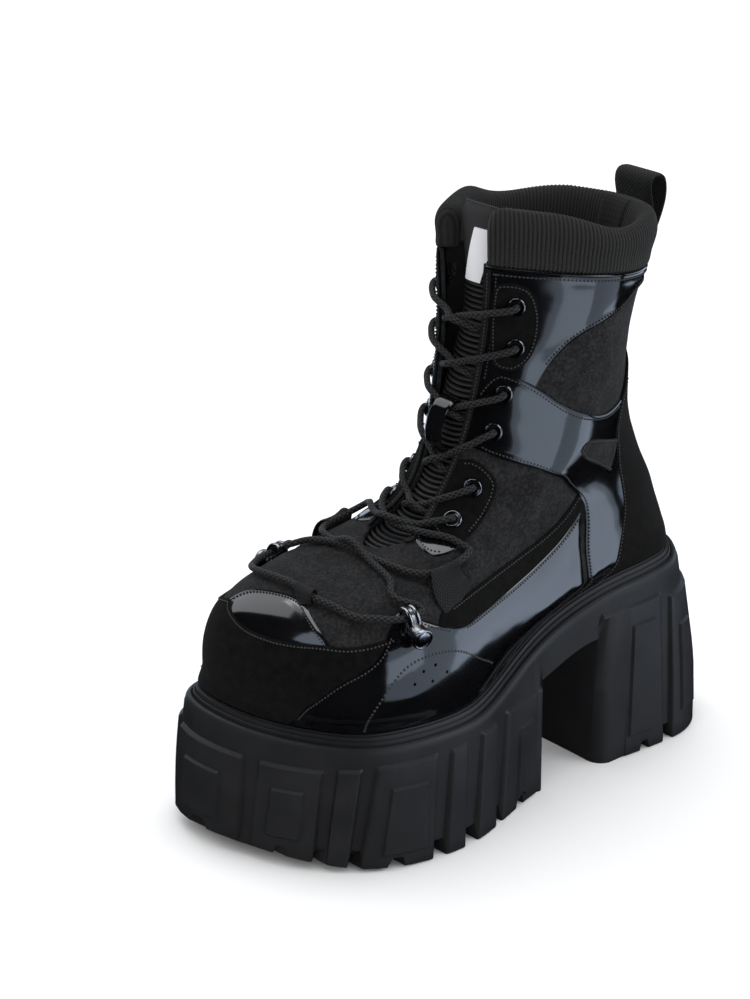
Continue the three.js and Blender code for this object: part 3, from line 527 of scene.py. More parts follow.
M = {
    "nubuck": mat_nubuck(),
    "suede": mat_suede(),
    "patent": mat_patent(),
    "rubber": mat_rubber(),
    "knit": mat_knit("knit", 0.0035, 0.024, 1.6),
    "knit_in": mat_knit("knit_inner", 0.006, 0.014, 1.0),
    "ribbed": mat_rib(),
    "webbing": mat_weave("webbing", 0.003, 0.014, 0.82),
    # cord: the wide dark-to-light span gives bright specks on the braid, which are painted highlights
    "cord": mat_weave("cord", 0.0014, 0.030, 0.62, depth=0.0009),
    "gunmetal": mat_metal("gunmetal", (0.44, 0.44, 0.46), 0.20),
    "black_nickel": mat_metal("black_nickel", (0.26, 0.265, 0.28), 0.16),
    # thread: colour made lighter so the stitches read as light dots; partly the thread's own grey, partly painted
    # highlight
    "thread": mat_plain("thread", grey(0.018), grey(0.050), 0.42, 2400, 0.6),
    "lining": mat_plain("lining", grey(0.004), grey(0.010), 0.95, 1500),
    "label": mat_weave("label", 0.62, 0.80, 0.7, sheen=0.0, depth=0.0001),
    "edge": mat_plain("cut_edge", grey(0.005), grey(0.010), 0.7, 900),
}

# ---------------------------------------------------------------- mesh helpers


def quads(nr, nc, wrap_r=False, wrap_c=False):
    i, j = np.arange(nr - (0 if wrap_r else 1)), np.arange(nc - (0 if wrap_c else 1))
    I, J = np.meshgrid(i, j, indexing="ij")
    K, L = (I + 1) % nr, (J + 1) % nc
    return np.stack([I * nc + J, I * nc + L, K * nc + L, K * nc + J], -1).reshape(-1, 4)


def volume(V, F):
    s = 0.0
    for f in F:
        f = np.asarray(f)
        if len(f) == 0:
            continue
        A = V[f[:, 0]]
        for k in range(1, f.shape[1] - 1):
            s += np.einsum("ij,ij->", A, np.cross(V[f[:, k]], V[f[:, k + 1]]))
    return s / 6


def weld(V, F, tol=1e-4):
    key = np.round(V / tol).astype(np.int64)
    _, first, inv = np.unique(key, axis=0, return_index=True, return_inverse=True)
    inv = inv.ravel()
    out = []
    for f in F:
        g = inv[np.asarray(f)]
        out.append(g)
    return V[first], out, first


def make(name, V, F, mat, smooth=38, uv=None, mats=None, fmat=None, replaces=(), welded=True, closed=True):
    """V in the boot's own millimetres; F a list of face arrays."""
    V = np.asarray(V, float)
    if welded:
        V, F, first = weld(V, F)
        if uv is not None:
            uv_src = uv
    if closed and volume(V, F) < 0:
        F = [np.asarray(f)[:, ::-1] for f in F]
        if uv is not None and welded is False:
            pass
    faces, keep = [], []
    k = 0
    for f in F:
        for row in np.asarray(f).tolist():
            r = [a for i, a in enumerate(row) if a != row[i - 1]]
            if len(r) >= 3 and len(set(r)) == len(r):
                faces.append(r)
                keep.append(k)
            k += 1
    me = bpy.data.meshes.new(name)
    me.from_pydata(((V + OFF) / 1000).tolist(), [], faces)
    for mt in (mats or [mat]):
        me.materials.append(M[mt])
    me.polygons.foreach_set("use_smooth", [True] * len(me.polygons))
    if fmat is not None:
        me.polygons.foreach_set("material_index", np.asarray(fmat)[keep].astype(np.int32))
    if uv is not None and not welded:
        lay = me.uv_layers.new(name="UVMap")
        li = np.zeros(len(me.loops), np.int32)
        me.loops.foreach_get("vertex_index", li)
        lay.data.foreach_set("uv", np.asarray(uv, np.float32)[li].ravel())
    me.update()
    if smooth:
        me.set_sharp_from_angle(angle=math.radians(smooth))
    o = bpy.data.objects.new(name, me)
    bpy.context.scene.collection.objects.link(o)
    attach(o, "root")
    if replaces:
        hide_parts(*replaces)
    return o


class Bag:
    """Many small bodies joined into one mesh."""

    def __init__(self):
        self.V, self.F, self.UV, self.n = [], [], [], 0

    def add(self, V, F, UV=None):
        V = np.asarray(V, float).reshape(-1, 3)
        if volume(V, F) < 0:
            F = [np.asarray(f)[:, ::-1] for f in F]
        self.V.append(V)
        self.F += [np.asarray(f) + self.n for f in F]
        self.UV.append(np.zeros((len(V), 2)) if UV is None else UV)
        self.n += len(V)

    def make(self, name, mat, **kw):
        return make(name, np.concatenate(self.V), self.F, mat, uv=np.concatenate(self.UV), welded=False, closed=False, **kw)


def tube_mesh(P, r, k=12, up=(0, 0, 1), squash=1.0, radii=None, taper_ends=True, threads=6, pitch=1.6):
    """Closed tube along P with a frame carried along; uv counts threads."""
    P = np.asarray(P, float)
    n = len(P)
    T = np.gradient(P, axis=0)
    T /= np.linalg.norm(T, axis=1)[:, None] + 1e-12
    a = np.array(up, float)
    A = np.zeros((n, 3))
    for i in range(n):
        a = a - T[i] * (a @ T[i])
        a /= np.linalg.norm(a) + 1e-12
        A[i] = a
    B = np.cross(T, A)
    th = np.linspace(0, 2 * np.pi, k + 1)
    R = np.full(n, r) if radii is None else np.asarray(radii)
    G = P[:, None] + R[:, None, None] * (A[:, None] * np.cos(th)[None, :, None] + B[:, None] * np.sin(th)[None, :, None] * squash)
    s = np.r_[0, np.cumsum(np.linalg.norm(np.diff(P, axis=0), axis=1))]
    UV = np.stack(np.broadcast_arrays(th[None, :] / (2 * np.pi) * threads, s[:, None] / pitch), -1)
    V = G.reshape(-1, 3)
    F = [quads(n, k + 1)]
    ends = np.array([P[0], P[-1]])
    i0, i1 = len(V), len(V) + 1
    j = np.arange(k)
    F.append(np.stack([np.full(k, i0), j + 1, j], -1))
    base = (n - 1) * (k + 1)
    F.append(np.stack([np.full(k, i1), base + j, base + j + 1], -1))
    return np.concatenate([V, ends]), F, np.concatenate([UV.reshape(-1, 2), [[0, 0], [0, 0]]])


def smooth_path(P, step=0.8, closed=False):
    P = np.asarray(P, float)
    C = fit(P, closed)
    d = at(C, np.linspace(0, len(P) - 1, 40 * len(P)), closed)
    s = np.r_[0, np.cumsum(np.linalg.norm(np.diff(d, axis=0), axis=1))]
    t = np.linspace(0, s[-1], max(4, int(s[-1] / step)))
    return np.stack([np.interp(t, s, d[:, i]) for i in range(3)], -1)


STITCH = Bag()


def stitches(P, N, pitch=1.9, length=1.3, r=0.36, lift=0.08, bag=None):
    """Thread dashes along the 3-D curve P with surface normals N."""
    bag = STITCH if bag is None else bag
    s = np.r_[0, np.cumsum(np.linalg.norm(np.diff(P, axis=0), axis=1))]
    if s[-1] < pitch:
        return
    n = int(s[-1] / pitch)
    mids = (np.arange(n) + 0.5) * s[-1] / n
    ev = lambda t, A: np.stack([np.interp(t, s, A[:, i]) for i in range(3)], -1)
    ts = [-0.5, -0.32, 0.0, 0.32, 0.5]
    rad = [0.35, 0.85, 1.0, 0.85, 0.35]
    dip = [-0.30, -0.04, 0.05, -0.04, -0.30]
    th = np.linspace(0, 2 * np.pi, 6)[:-1]
    C = ev(mids, P)
    D = ev(mids + 0.3, P) - ev(mids - 0.3, P)
    D /= np.linalg.norm(D, axis=1)[:, None] + 1e-9
    Nn = ev(mids, N)
    Nn -= D * (Nn * D).sum(1)[:, None]
    Nn /= np.linalg.norm(Nn, axis=1)[:, None]
    Bn = np.cross(D, Nn)
    rings = []
    for t, q, dz in zip(ts, rad, dip):
        c = C + D * (t * length) + Nn * (lift + dz)
        rings.append(c[:, None] + q * r * (Nn[:, None] * 0.8 * np.cos(th)[None, :, None] + Bn[:, None] * np.sin(th)[None, :, None]))
    V = np.stack(rings, 1)                       # n, 5, 5, 3
    F1 = quads(5, 5, False, True)
    caps = np.array([[0, 1, 2], [0, 2, 3], [0, 3, 4]])
    cap0, cap1 = caps[:, ::-1], caps + 20
    base = (np.arange(n) * 25)[:, None, None]
    V = V.reshape(-1, 3)
    bag.add(V, [(F1[None] + base).reshape(-1, 4), (cap0[None] + base).reshape(-1, 3), (cap1[None] + base).reshape(-1, 3)])


def on_skin(path, off, side_shift=0.0, n=None, mirror=False, smooth=True, bumpy=1.0):
    """3-D curve on the upper through (v, p) places, shifted sideways by side_shift mm."""
    D = densify(path, n or 12 * len(path)) if smooth else poly_dense(path)
    v, p = D[:, 0], D[:, 1] * (-1 if mirror else 1)
    P, N = shell(v, p, off, bumpy), normal(v, p)
    T = np.gradient(P, axis=0)
    T /= np.linalg.norm(T, axis=1)[:, None] + 1e-9
    B = np.cross(N, T) * (-1 if mirror else 1)
    return P + B * side_shift, N


def poly_dense(path, step=0.03):
    P = np.asarray(path, float)
    out = [P[0]]
    for a, b in zip(P[:-1], P[1:]):
        n = max(1, int(np.hypot(*((b - a) * [1, 1.6])) / step))
        for k in range(1, n + 1):
            out.append(a + (b - a) * k / n)
    return np.array(out)


SX, SY = 22.0, 13.0          # rough mm per unit of p and v


def outline_of(pieces):
    """Closed (v, p) outline from runs; each run is smoothed on its own, so corners stay sharp between runs."""
    pts = []
    for run in pieces:
        run = np.asarray(run, float)
        if len(run) > 2:
            d = densify(run, 10 * len(run))
        else:
            d = poly_dense(run, 0.1)
        pts.append(d if not pts else d[1:] if np.allclose(d[0], pts[-1][-1]) else d)
    P = np.concatenate(pts)
    if np.allclose(P[0], P[-1]):
        P = P[:-1]
    Q = P * [SY, SX]
    s = np.r_[0, np.cumsum(np.linalg.norm(np.diff(np.vstack([Q, Q[:1]]), axis=0), axis=1))]
    n = int(s[-1] / 1.1)
    t = np.arange(n) * s[-1] / n
    R = np.vstack([P, P[:1]])
    even = np.stack([np.interp(t, s, R[:, 0]), np.interp(t, s, R[:, 1])], -1)
    return even


def inside(P, poly):
    x, y = P[:, 0], P[:, 1]
    r = np.zeros(len(P), bool)
    n = len(poly)
    for i in range(n):
        x1, y1 = poly[i]
        x2, y2 = poly[(i + 1) % n]
        c = ((y1 > y) != (y2 > y)) & (x < (x2 - x1) * (y - y1) / (y2 - y1 + 1e-15) + x1)
        r ^= c
    return r


def panel(name, pieces, off, thick, mat, mirror=False, puff=0.0, groove=0.12, grid=2.2, replaces=(), base=None, holes=(), bumpy=1.0, edge=0.45):
    """A leather piece laid on the upper: (v, p) outline, thickness, rounded cut edge and a light dip where it is sewn."""
    poly = outline_of(pieces)
    B = poly * [SY, SX]
    area = 0.5 * np.sum(B[:, 0] * np.roll(B[:, 1], -1) - np.roll(B[:, 0], -1) * B[:, 1])
    if area < 0:
        B = B[::-1]
    T = np.roll(B, -1, 0) - np.roll(B, 1, 0)
    T /= np.linalg.norm(T, axis=1)[:, None] + 1e-9
    IN = np.stack([-T[:, 1], T[:, 0]], -1)
    cand = []
    dist = lambda Q: np.sqrt(np.min(((Q[:, None, :] - B[None, :, :]) ** 2).sum(-1), axis=1))
    for d in (0.35, 0.9, 1.7, 2.6):
        Q = (B + IN * d)[:: (1 if d < 1 else 2)]
        dd = dist(Q)
        cand.append(Q[(dd > d * 0.86) & inside(Q, B)])
    lo, hi = B.min(0), B.max(0)
    gx, gy = np.meshgrid(np.arange(lo[0], hi[0], grid), np.arange(lo[1], hi[1], grid), indexing="ij")
    G = np.stack([gx.ravel(), gy.ravel()], -1)
    G = G[inside(G, B)]
    if len(G):
        G = G[dist(G) > 3.4]
    cand.append(G)
    Q = np.concatenate(cand)
    pts = np.concatenate([B, Q])
    nb = len(B)
    edges = [(i, (i + 1) % nb) for i in range(nb)]
    vs, _, fs, *_ = delaunay_2d_cdt([Vector(x) for x in pts], edges, [], 1, 1e-5)
    V2 = np.array([list(x) for x in vs])
    Ft = np.array([list(f) for f in fs])
    # boundary of the triangulation
    E = np.concatenate([Ft[:, [0, 1]], Ft[:, [1, 2]], Ft[:, [2, 0]]])
    key = np.sort(E, 1)
    _, idx, cnt = np.unique(key, axis=0, return_index=True, return_counts=True)
    rim_e = E[idx[cnt == 1]]
    d = dist(V2)
    on = np.zeros(len(V2), bool)
    on[rim_e.ravel()] = True
    d[on] = 0
    h = thick - edge * thick * np.exp(-d / 0.35) - groove * np.exp(-((d - 1.9) / 0.8) ** 2) + puff * sstep(1.5, 9, d)
    v, p = V2[:, 0] / SY, V2[:, 1] / SX * (-1 if mirror else 1)
    top = shell(v, p, off + h, bumpy)
    low = shell(v, p, off - 0.35, bumpy)
    n = len(V2)
    V = np.concatenate([top, low])
    F = [Ft, Ft[:, ::-1] + n, np.stack([rim_e[:, 1], rim_e[:, 0], rim_e[:, 0] + n, rim_e[:, 1] + n], -1)]
    return make(name, V, F, mat, smooth=50, welded=False, replaces=replaces)


# ---------------------------------------------------------------- sole

# foot and top ends on the outline, lateral then medial; top, notch; inner panel: share across at foot and top, heights
LUGS = [
    (0.83, 1.87, 1.03, 2.05, 21.61, 20.12, 21.71, 20.25, 50, 1, (0.22, 0.80, 0.25, 0.77, 15, 39)),
    (2.11, 2.46, 2.34, 2.70, 19.93, 19.62, 19.99, 19.66, 51, 0, None),
    (2.68, 3.75, 2.97, 3.82, 19.42, 18.42, 19.36, 18.38, 52, 1, (0.27, 0.94, 0.26, 0.82, 8, 41)),
    (3.97, 4.35, 4.09, 4.39, 18.18, 17.80, 18.10, 17.76, 52, 0, None),
    (4.68, 5.23, 4.85, 5.26, 17.50, 16.98, 17.38, 16.95, 53, 0, None),
    (5.43, 6.50, 5.62, 6.50, 16.75, 15.70, 16.60, 15.70, 54, 1, (0.37, 0.95, 0.38, 0.80, 5, 42)),
]
HEEL_LUGS = [
    (8.30, 9.06, 8.30, 8.99, 13.70, 12.94, 13.70, 13.01, 80, 1, (0.05, 0.76, 0.12, 0.80, 11, 70)),
    (9.27, 10.05, 9.27, 10.0, 12.73, 11.95, 12.73, 12.0, 76, 0, (0.22, 0.80, 0.24, 0.78, 14, 60)),
    (10.25, 10.87, 10.22, 10.87, 11.75, 11.13, 11.78, 11.13, 74, 0, None),
]
RIM = [(0.02, -2.6), (0.25, -1.5), (0.75, -0.6), (1.5, 0.0), (2.2, 0.28), (2.75, 0.2), (2.98, -0.3), (3.2, -0.75), (3.45, -0.35), (3.6, 0.7), (3.8, 1.55), (4.25, 1.95),
       (4.65, 1.75), (4.85, 1.5), (5.0, 1.9), (5.15, 2.9), (5.5, 3.55), (5.95, 3.7), (6.3, 3.4), (6.55, 3.6), (6.7, DECK)]


def u_at_y(y, side):
    us = np.arange(5.5 if side > 0 else 12, 10.01 if side > 0 else 16.51, 0.01)
    return us[np.argmin(np.abs(at(OUTLINE, us, True)[:, 1] - y))]


def columns(side):
    o, s = (0, 1) if side > 0 else (4, -1)
    e = 0.035 * s
    cols = []

    def add(ub, ut, low, m, top, zp=(14, 40), inner=0, corner=None):
        cols.append(dict(ub=ub, ut=ut, low=low, m=m, top=top, zp=zp, inner=inner, corner=corner))

    for table in (LUGS, HEEL_LUGS):
        for k, r in enumerate(table):
            b0, b1, t0, t1 = r[o:o + 4]
            top, notch, pan = r[8], r[9], r[10]
            L = lambda fb, ft=None: (mix(b0, b1, fb), mix(t0, t1, fb if ft is None else ft))
            if not (table is HEEL_LUGS and k == 0):
                add(b0 - e, t0 - e, "channel", 0, top)
            width = abs(b1 - b0)
            w = 0.05 / width                  # round of the lug's edge, as a share
            S = [(0, 0, 0, 0.8, 0), (w * 0.5, w * 0.5, 0, 0.97, 0), (w, w, 0, 1, 0)]
            zp = (14, 40)
            if pan:
                f0b, f1b, f0t, f1t, z0, z1 = pan
                zp = (z0, z1)
                q = 0.028 / width
                S += [(f0b - q, f0t - q, 0, 1, 0), (f0b, f0t, 0, 1, 0), (f0b + q, f0t + q, 0, 1, 1)]
                inner_mid = []
                for f in (0.38, 0.43, 0.5, 0.57, 0.62):
                    low = NOTCH if notch and 0.42 < f < 0.58 else 0
                    inner_mid.append((f, f, low, 1, 1))
                extra = [x for x in (0.32, 0.70) if f0b + 3 * q < x < min(f1b, f1t) - 3 * q]
                inner_mid += [(f, f, 0, 1, 1) for f in extra]
                S += sorted(t for t in inner_mid if t[0] > f0b + 1.5 * q)
                S += [(f1b - q, f1t - q, 0, 1, 1), (f1b, f1t, 0, 1, 0), (f1b + q, f1t + q, 0, 1, 0)]
            else:
                S += [(0.38, 0.38, 0, 1, 0), (0.62, 0.62, 0, 1, 0)]
            S += [(1 - w, 1 - w, 0, 1, 0), (1 - w * 0.5, 1 - w * 0.5, 0, 0.97, 0), (1, 1, 0, 0.8, 0)]
            for fb, ft, low, m, inner in S:
                add(*L(fb, ft), low, m, top, zp, inner)
            if not (table is LUGS and k == len(LUGS) - 1):
                add(b1 + e, t1 + e, "channel", 0, top)
                if k + 1 < len(table):
                    nb, nt = table[k + 1][o] - e, table[k + 1][o + 2] - e
                    for f in (0.35, 0.65):
                        add(mix(b1 + e, nb, f), mix(t1 + e, nt, f), "channel", 0, top)
        if table is LUGS:
            u_end, y0, rr = (6.64 if side > 0 else 15.50), BLOCK_END, BLOCK_CORNER
            for th in (75, 60, 45, 30, 15, 0):
                add(u_end, u_end - s * 0.02 * (th / 30), 0, 1, 54, corner=(y0, -rr, th))
            ws = [6.68, 6.95, 7.25, 7.55, 7.80] if side > 0 else [15.46, 15.15, 14.85, 14.55, 14.30]
            for u in np.interp(np.linspace(0, 4, 11), range(5), ws):
                add(u, u, "arch", 0, 0)
            for th in (0, 12, 24, 36, 48, 60, 75):
                add(ws[4] + s * (0.06 + th / 300), ws[4] + s * (0.06 + th / 300), 0, 1, 80, corner=(BREAST, HEEL_CORNER, th))
    return cols


def column_points(c, side):
    y = at(OUTLINE, c["ub"], True)[1]
    ledge = float(ledge_z(y))
    if c["low"] == "arch":
        low = float(arch_z(y))
        top = mix(low, ledge, 0.35)
        z = lambda f: mix(low, top, f)
        Z = [z(f) for f in (0, .03, .1, .2, .28, .30, .4, .5, .6, .7, .72, .85, .92, 1)]
    else:
        low = float(spring(y)) + (CHANNEL if c["low"] == "channel" else c["low"])
        top = c["top"]
        a, b = c["zp"]
        a = max(a, low + 2.5)
        Z = [low, low + 0.45, low + 1.1, mix(low + 1.1, a - .5, .5), a - .5, a + .5, mix(a, b, .25), mix(a, b, .5), mix(a, b, .75), b - .5, b + .5, top - 1.4, top - 0.5, top - 0.1]
    ms = [0.72, 0.93, 1, 1, 1, 1, 1, 1, 1, 1, 1, 1, 0.95, 0.72]
    raise_rows = {5, 6, 7, 8, 9}
    rows = [(zz, c["m"] * mm, 1.25 if c["inner"] and i in raise_rows else 0.0) for i, (zz, mm) in enumerate(zip(Z, ms))]
    rows += [(top + 0.9, 0, 0), (top + 1.6, 0, 0), (mix(top + 1.6, ledge - 4.2, .6), 0, 0), (max(ledge - 4.2, top + 2.2), 0, 0)]
    P = []
    for zz, m, up in rows:
        u = mix(c["ub"], c["ut"], min(1, max(0, zz / top)))
        p = wall(u, zz, m, up)
        if c["corner"]:
            y0, r, th = c["corner"]
            a_, R, dr = math.radians(th), abs(r), (1 if r > 0 else -1)
            w = 1 - float(sstep(ARCH_FRONT - 14, ARCH_BACK - 6, zz))
            base = wall(u_at_y(y0 + dr * R, side), zz, 1.0)
            q = np.array([base[0] - side * R * (1 - math.sin(a_)), y0 + dr * R * (1 - math.cos(a_)), zz])
            p = mix(p, q, w)
        P.append(p)
    for inset, up in RIM:
        P.append(rim(c["ut"], inset, up))
    return P


def build_sole():
    end = lambda u, low, top: dict(ub=u, ut=u, low=low, m=0, top=top, zp=(14, 40), inner=0, corner=None)
    toe, heel = end(TOE_U, "channel", 50), end(HEEL_U, "channel", 74)
    L = np.array([column_points(c, 1) for c in [toe, *columns(1), heel]])
    R = np.array([column_points(c, -1) for c in [toe, *columns(-1), heel]])
    nr, nc = L.shape[:2]
    V, F, n = [], [], 0

    def grid(G, flip=False):
        nonlocal n
        G = np.asarray(G)
        q = quads(G.shape[0], G.shape[1])
        V.append(G.reshape(-1, 3))
        F.append((q[:, ::-1] if flip else q) + n)
        n += G.shape[0] * G.shape[1]

    grid(L)
    grid(R, True)

    def across(p, q):
        d = math.hypot(p[0] - q[0], p[1] - q[1])
        f = min(0.3, 9 / (d or 1))
        md = max(p[2], q[2])
        sp = float(spring((p[1] + q[1]) / 2))
        local = abs(md - CHANNEL - sp) > 1 and md < 15
        out = []
        for i, t in enumerate((0, f, 0.5, 1 - f, 1)):
            r = mix(p, q, t)
            if 0 < i < 4 and local:
                r = np.array([r[0], r[1], sp])
            out.append(r)
        return out

    grid([across(L[i][0], R[i][0]) for i in range(nr)], True)

    def deck(p, q):
        out = []
        for t in (0, .25, .5, .75, 1):
            r = mix(p, q, t)
            if 0 < t < 1:
                r = np.array([r[0], r[1], float(ledge_z(r[1])) + DECK])
            out.append(r)
        return out

    grid([deck(L[i][-1], R[i][-1]) for i in range(nr)])
    return make("sole_moulding", np.concatenate(V), F, "rubber", smooth=32, replaces=("sole",))


build_sole()

# ---------------------------------------------------------------- upper: hollow base of nubuck with its lining

def build_base():
    V = np.unique(np.round(np.concatenate([np.linspace(0, 1, 12), np.linspace(1, 5.9, 56), [5.95, 5.97, 6.0, 6.05, 6.12, 6.22, 6.35], np.linspace(6.4, 12, 52)]), 4))
    n = 190
    E = np.where(V <= 5.95, 0, edge_p(V))
    j = np.linspace(0, 1, n + 1)
    Pp = E[:, None] + (10 - 2 * E[:, None]) * j[None]
    VV = np.broadcast_to(V[:, None], Pp.shape)
    out = shell(VV, Pp, 0.0)
    d = np.minimum(j, 1 - j)[None] * (10 - 2 * E[:, None]) * 22
    round_edge = np.where(V[:, None] > 5.95, -0.5 * np.exp(-d / 0.5), 0)
    out = out + normal(VV, Pp) * round_edge[..., None]
    inn = shell(VV, Pp, -WALL, 0)
    nr, nc = Pp.shape
    q = quads(nr, nc)
    N = nr * nc
    i0 = int(np.where(V <= 5.95)[0][-1])
    F, kinds = [q, q[:, ::-1] + N], [0, 1]
    col = np.arange(nc - 1)
    F.append(np.stack([col, col + N, col + 1 + N, col + 1], -1))
    top = (nr - 1) * nc + col
    F.append(np.stack([top, top + 1, top + 1 + N, top + N], -1))
    for jj, fl in ((0, False), (nc - 1, True)):
        r = np.arange(i0, nr - 1) * nc + jj
        f = np.stack([r, r + nc, r + nc + N, r + N], -1)
        F.append(f[:, ::-1] if fl else f)
    fmat = np.concatenate([np.full(len(f), 1 if k == 1 else 0) for k, f in enumerate(F)])
    return make("upper_nubuck", np.concatenate([out.reshape(-1, 3), inn.reshape(-1, 3)]), F, None, smooth=45, mats=["nubuck", "lining"], fmat=fmat, replaces=("upper",))


base = build_base()

TH = lambda v0, v1, n=14, gap=0.03: [(v, float(edge_p(v)) + gap) for v in np.linspace(v0, v1, n)]

for side, mir in (("lateral", False), ("medial", True)):
    # strip of suede up to the lower eyelets' patch
    panel(f"suede_strip_{side}", [[(2.5, 2.0), (3.33, 2.01)], [(3.33, 2.01), (3.55, 2.41), (3.66, 2.78), (3.84, 3.2), (4.67, 3.46)], [(4.67, 3.46), (3.9, 3.62), (2.7, 3.3), (2.15, 2.9), (2.1, 2.4), (2.5, 2.0)]],
          0.15, 0.8, "suede", mir)
    # curved patent piece at the foot of the throat
    panel(f"throat_base_{side}", [[(7.15, float(edge_p(7.15)) + 0.02), (6.75, float(edge_p(6.75)) + .02)], [(6.75, float(edge_p(6.75)) + .02), (6.55, 0.60), (6.20, 0.87), (5.83, 1.22), (5.62, 1.48), (5.64, 1.68)], [(5.64, 1.68), (6.3, 1.45), (7.15, float(edge_p(7.15)) + 0.02)]],
          0.1, 0.8, "patent", mir)
    panel(f"eyelet_patch_low_{side}", [[(8.42, float(edge_p(8.42)) + 0.04), (8.40, 0.98), (8.15, 1.33), (7.73, 1.62), (7.30, 1.73), (6.62, 1.78), (6.05, 1.76), (5.78, 1.62)],
                                      [(5.78, 1.62), (6.08, 1.36), (6.48, 1.02), (6.92, 0.70), (7.25, float(edge_p(7.25)) + 0.04)], TH(7.25, 8.42, 7, 0.04)],
          0.25, 0.85, "suede", mir)
    # patent top band, over the nubuck
    panel(f"top_band_{side}", [[(11.97, float(edge_p(11.97)) + .03), (11.97, 2.0), (11.97, 3.5), (11.97, 5.0)], [(11.97, 5.0), (11.62, 5.0)], [(11.62, 5.0), (11.60, 4.2), (11.50, 3.61), (11.20, 3.24), (10.85, 2.65), (10.45, 2.28), (10.00, 2.05), (9.6, 1.92)],
                               [(9.6, 1.92), (9.5, 1.3), (9.5, float(edge_p(9.5)) + .03)], TH(9.5, 11.97, 12)],
          0.1, 0.8, "patent", mir, puff=0.25)
    panel(f"eyelet_patch_top_{side}", [[(11.72, 1.06), (11.76, 1.30), (11.74, 1.52), (11.60, 1.72), (11.20, 1.85), (10.70, 1.84), (10.33, 1.72), (10.15, 1.48), (10.2, 1.2), (10.42, 1.0), (11.0, 0.94), (11.5, 0.97), (11.72, 1.06)]],
          0.75, 0.8, "suede", mir)
    # patent ankle band down to the sole
    panel(f"ankle_band_{side}", [[(9.70, float(edge_p(9.7)) + .03), (9.98, 0.92), (10.12, 1.15), (10.05, 1.46), (9.68, 1.98), (9.05, 2.54), (8.45, 3.03), (7.9, 3.5), (7.70, 4.05)],
                                 [(7.70, 4.05), (4.0, 4.15), (0.05, 3.95)], [(0.05, 3.95), (0.05, 3.45)],
                                 [(0.05, 3.45), (1.7, 3.47), (2.9, 3.50), (3.9, 3.50), (4.8, 3.36), (5.7, 3.14), (6.6, 2.86), (7.55, 2.33), (8.2, 1.66), (8.62, 1.05), (8.72, float(edge_p(8.72)) + .03)], TH(8.72, 9.70, 6)],
          0.35, 0.9, "patent", mir, puff=0.3)
    # patent wing over the cap and the strip
    panel(f"wing_{side}", [[(0.05, 0.60), (0.45, 0.68), (1.2, 0.88), (1.85, 1.08), (2.25, 1.28), (2.65, 1.42), (3.15, 1.47), (3.78, 1.50)],
                           [(3.78, 1.50), (3.82, 1.58), (3.55, 1.70), (3.12, 1.94), (2.72, 2.16)], [(2.72, 2.16), (2.58, 2.30), (2.60, 2.44), (2.66, 2.66), (2.78, 2.96), (3.14, 3.26), (3.75, 3.46)],
                           [(3.75, 3.46), (2.0, 3.43), (0.05, 3.40)], [(0.05, 3.40), (0.05, 2.0), (0.05, 0.60)]],
          0.5, 0.9, "patent", mir, puff=0.35)
    panel(f"heel_patch_{side}", [[(7.33, 3.01), (7.55, 3.1), (7.05, 3.43), (5.85, 3.88)], [(5.85, 3.88), (5.15, 3.85), (4.53, 3.79)], [(4.53, 3.79), (5.65, 3.5), (7.33, 3.01)]],
          1.1, 0.6, "nubuck", mir)
    # narrow folded edge of the facing
    edge_run = [(v, float(edge_p(v)) + 0.02) for v in np.linspace(11.95, 6.3, 30)]
    panel(f"facing_edge_{side}", [edge_run, [edge_run[-1], (6.3, float(edge_p(6.3)) + 0.17)], [(v, float(edge_p(v)) + 0.17) for v in np.linspace(6.3, 11.95, 30)]],
          1.05, 0.35, "edge", mir, grid=4)

panel("toe_window", [[(3.35, -0.36), (3.80, -0.22), (4.07, 0.12), (4.07, 0.40), (3.85, 0.60)], [(3.85, 0.60), (3.4, 0.80), (2.95, 0.97)], [(2.95, 0.97), (2.5, 0.7), (2.5, 0.2), (2.7, -0.2), (3.35, -0.36)]],
      0.15, 0.7, "patent", puff=0.3)
cap_top = [(3.10, -1.50), (2.95, -1.1), (3.02, -0.75), (3.30, -0.36), (3.22, -0.2), (3.02, 0.03), (2.90, 0.21), (2.85, 0.45), (2.88, 0.68), (2.94, 0.91), (2.92, 1.11), (3.00, 1.35), (3.12, 1.52)]
panel("toe_cap", [cap_top, [(3.12, 1.52), (1.5, 1.25), (0.05, 0.95)], [(0.05, 0.95), (0.05, 0.0), (0.05, -0.95)], [(0.05, -0.95), (1.5, -1.25), (3.10, -1.50)]],
      0.3, 0.9, "suede", puff=0.1)
panel("heel_counter", [[(8.35, 4.06), (8.9, 4.4), (9.2, 5.0), (8.9, 5.6), (8.35, 5.94)], [(8.35, 5.94), (7.3, 6.20), (5.5, 6.12), (3.5, 6.10), (1.8, 6.22), (0.05, 6.42)], [(0.05, 6.42), (0.05, 5.0), (0.05, 3.58)],
                       [(0.05, 3.58), (1.8, 3.78), (3.5, 3.90), (5.5, 3.88), (7.3, 3.80), (8.35, 4.06)]],
      0.75, 0.9, "suede", puff=0.1)

# ---------------------------------------------------------------- eyelets, their holes and the wing's perforations

EYELETS = [(11.38, 1.42, 1.62), (10.62, 1.45, 1.62), (9.68, 1.34, 1.45), (8.93, 1.29, 1.50), (7.70, 1.21, 1.15), (6.90, 1.13, 1.15)]
PERF = [(1.93, 1.95), (1.88, 1.83), (1.55, 2.06), (1.48, 1.91), (1.58, 1.74)]


def local(v, p):
    c, n = skin(v, p), normal(v, p)
    a = np.cross([0, 0, 1.0], n)
    a /= np.linalg.norm(a)
    return c, n, a, np.cross(n, a)


def revolve(c, n, a, b, prof, k=32, closed=True):
    th = np.linspace(0, 2 * np.pi, k, endpoint=False)
    prof = np.asarray(prof, float)
    G = c + n * prof[:, 1][:, None, None] + prof[:, 0][:, None, None] * (a * np.cos(th)[None, :, None] + b * np.sin(th)[None, :, None])
    return G.reshape(-1, 3), [quads(len(prof), k, closed, True)]


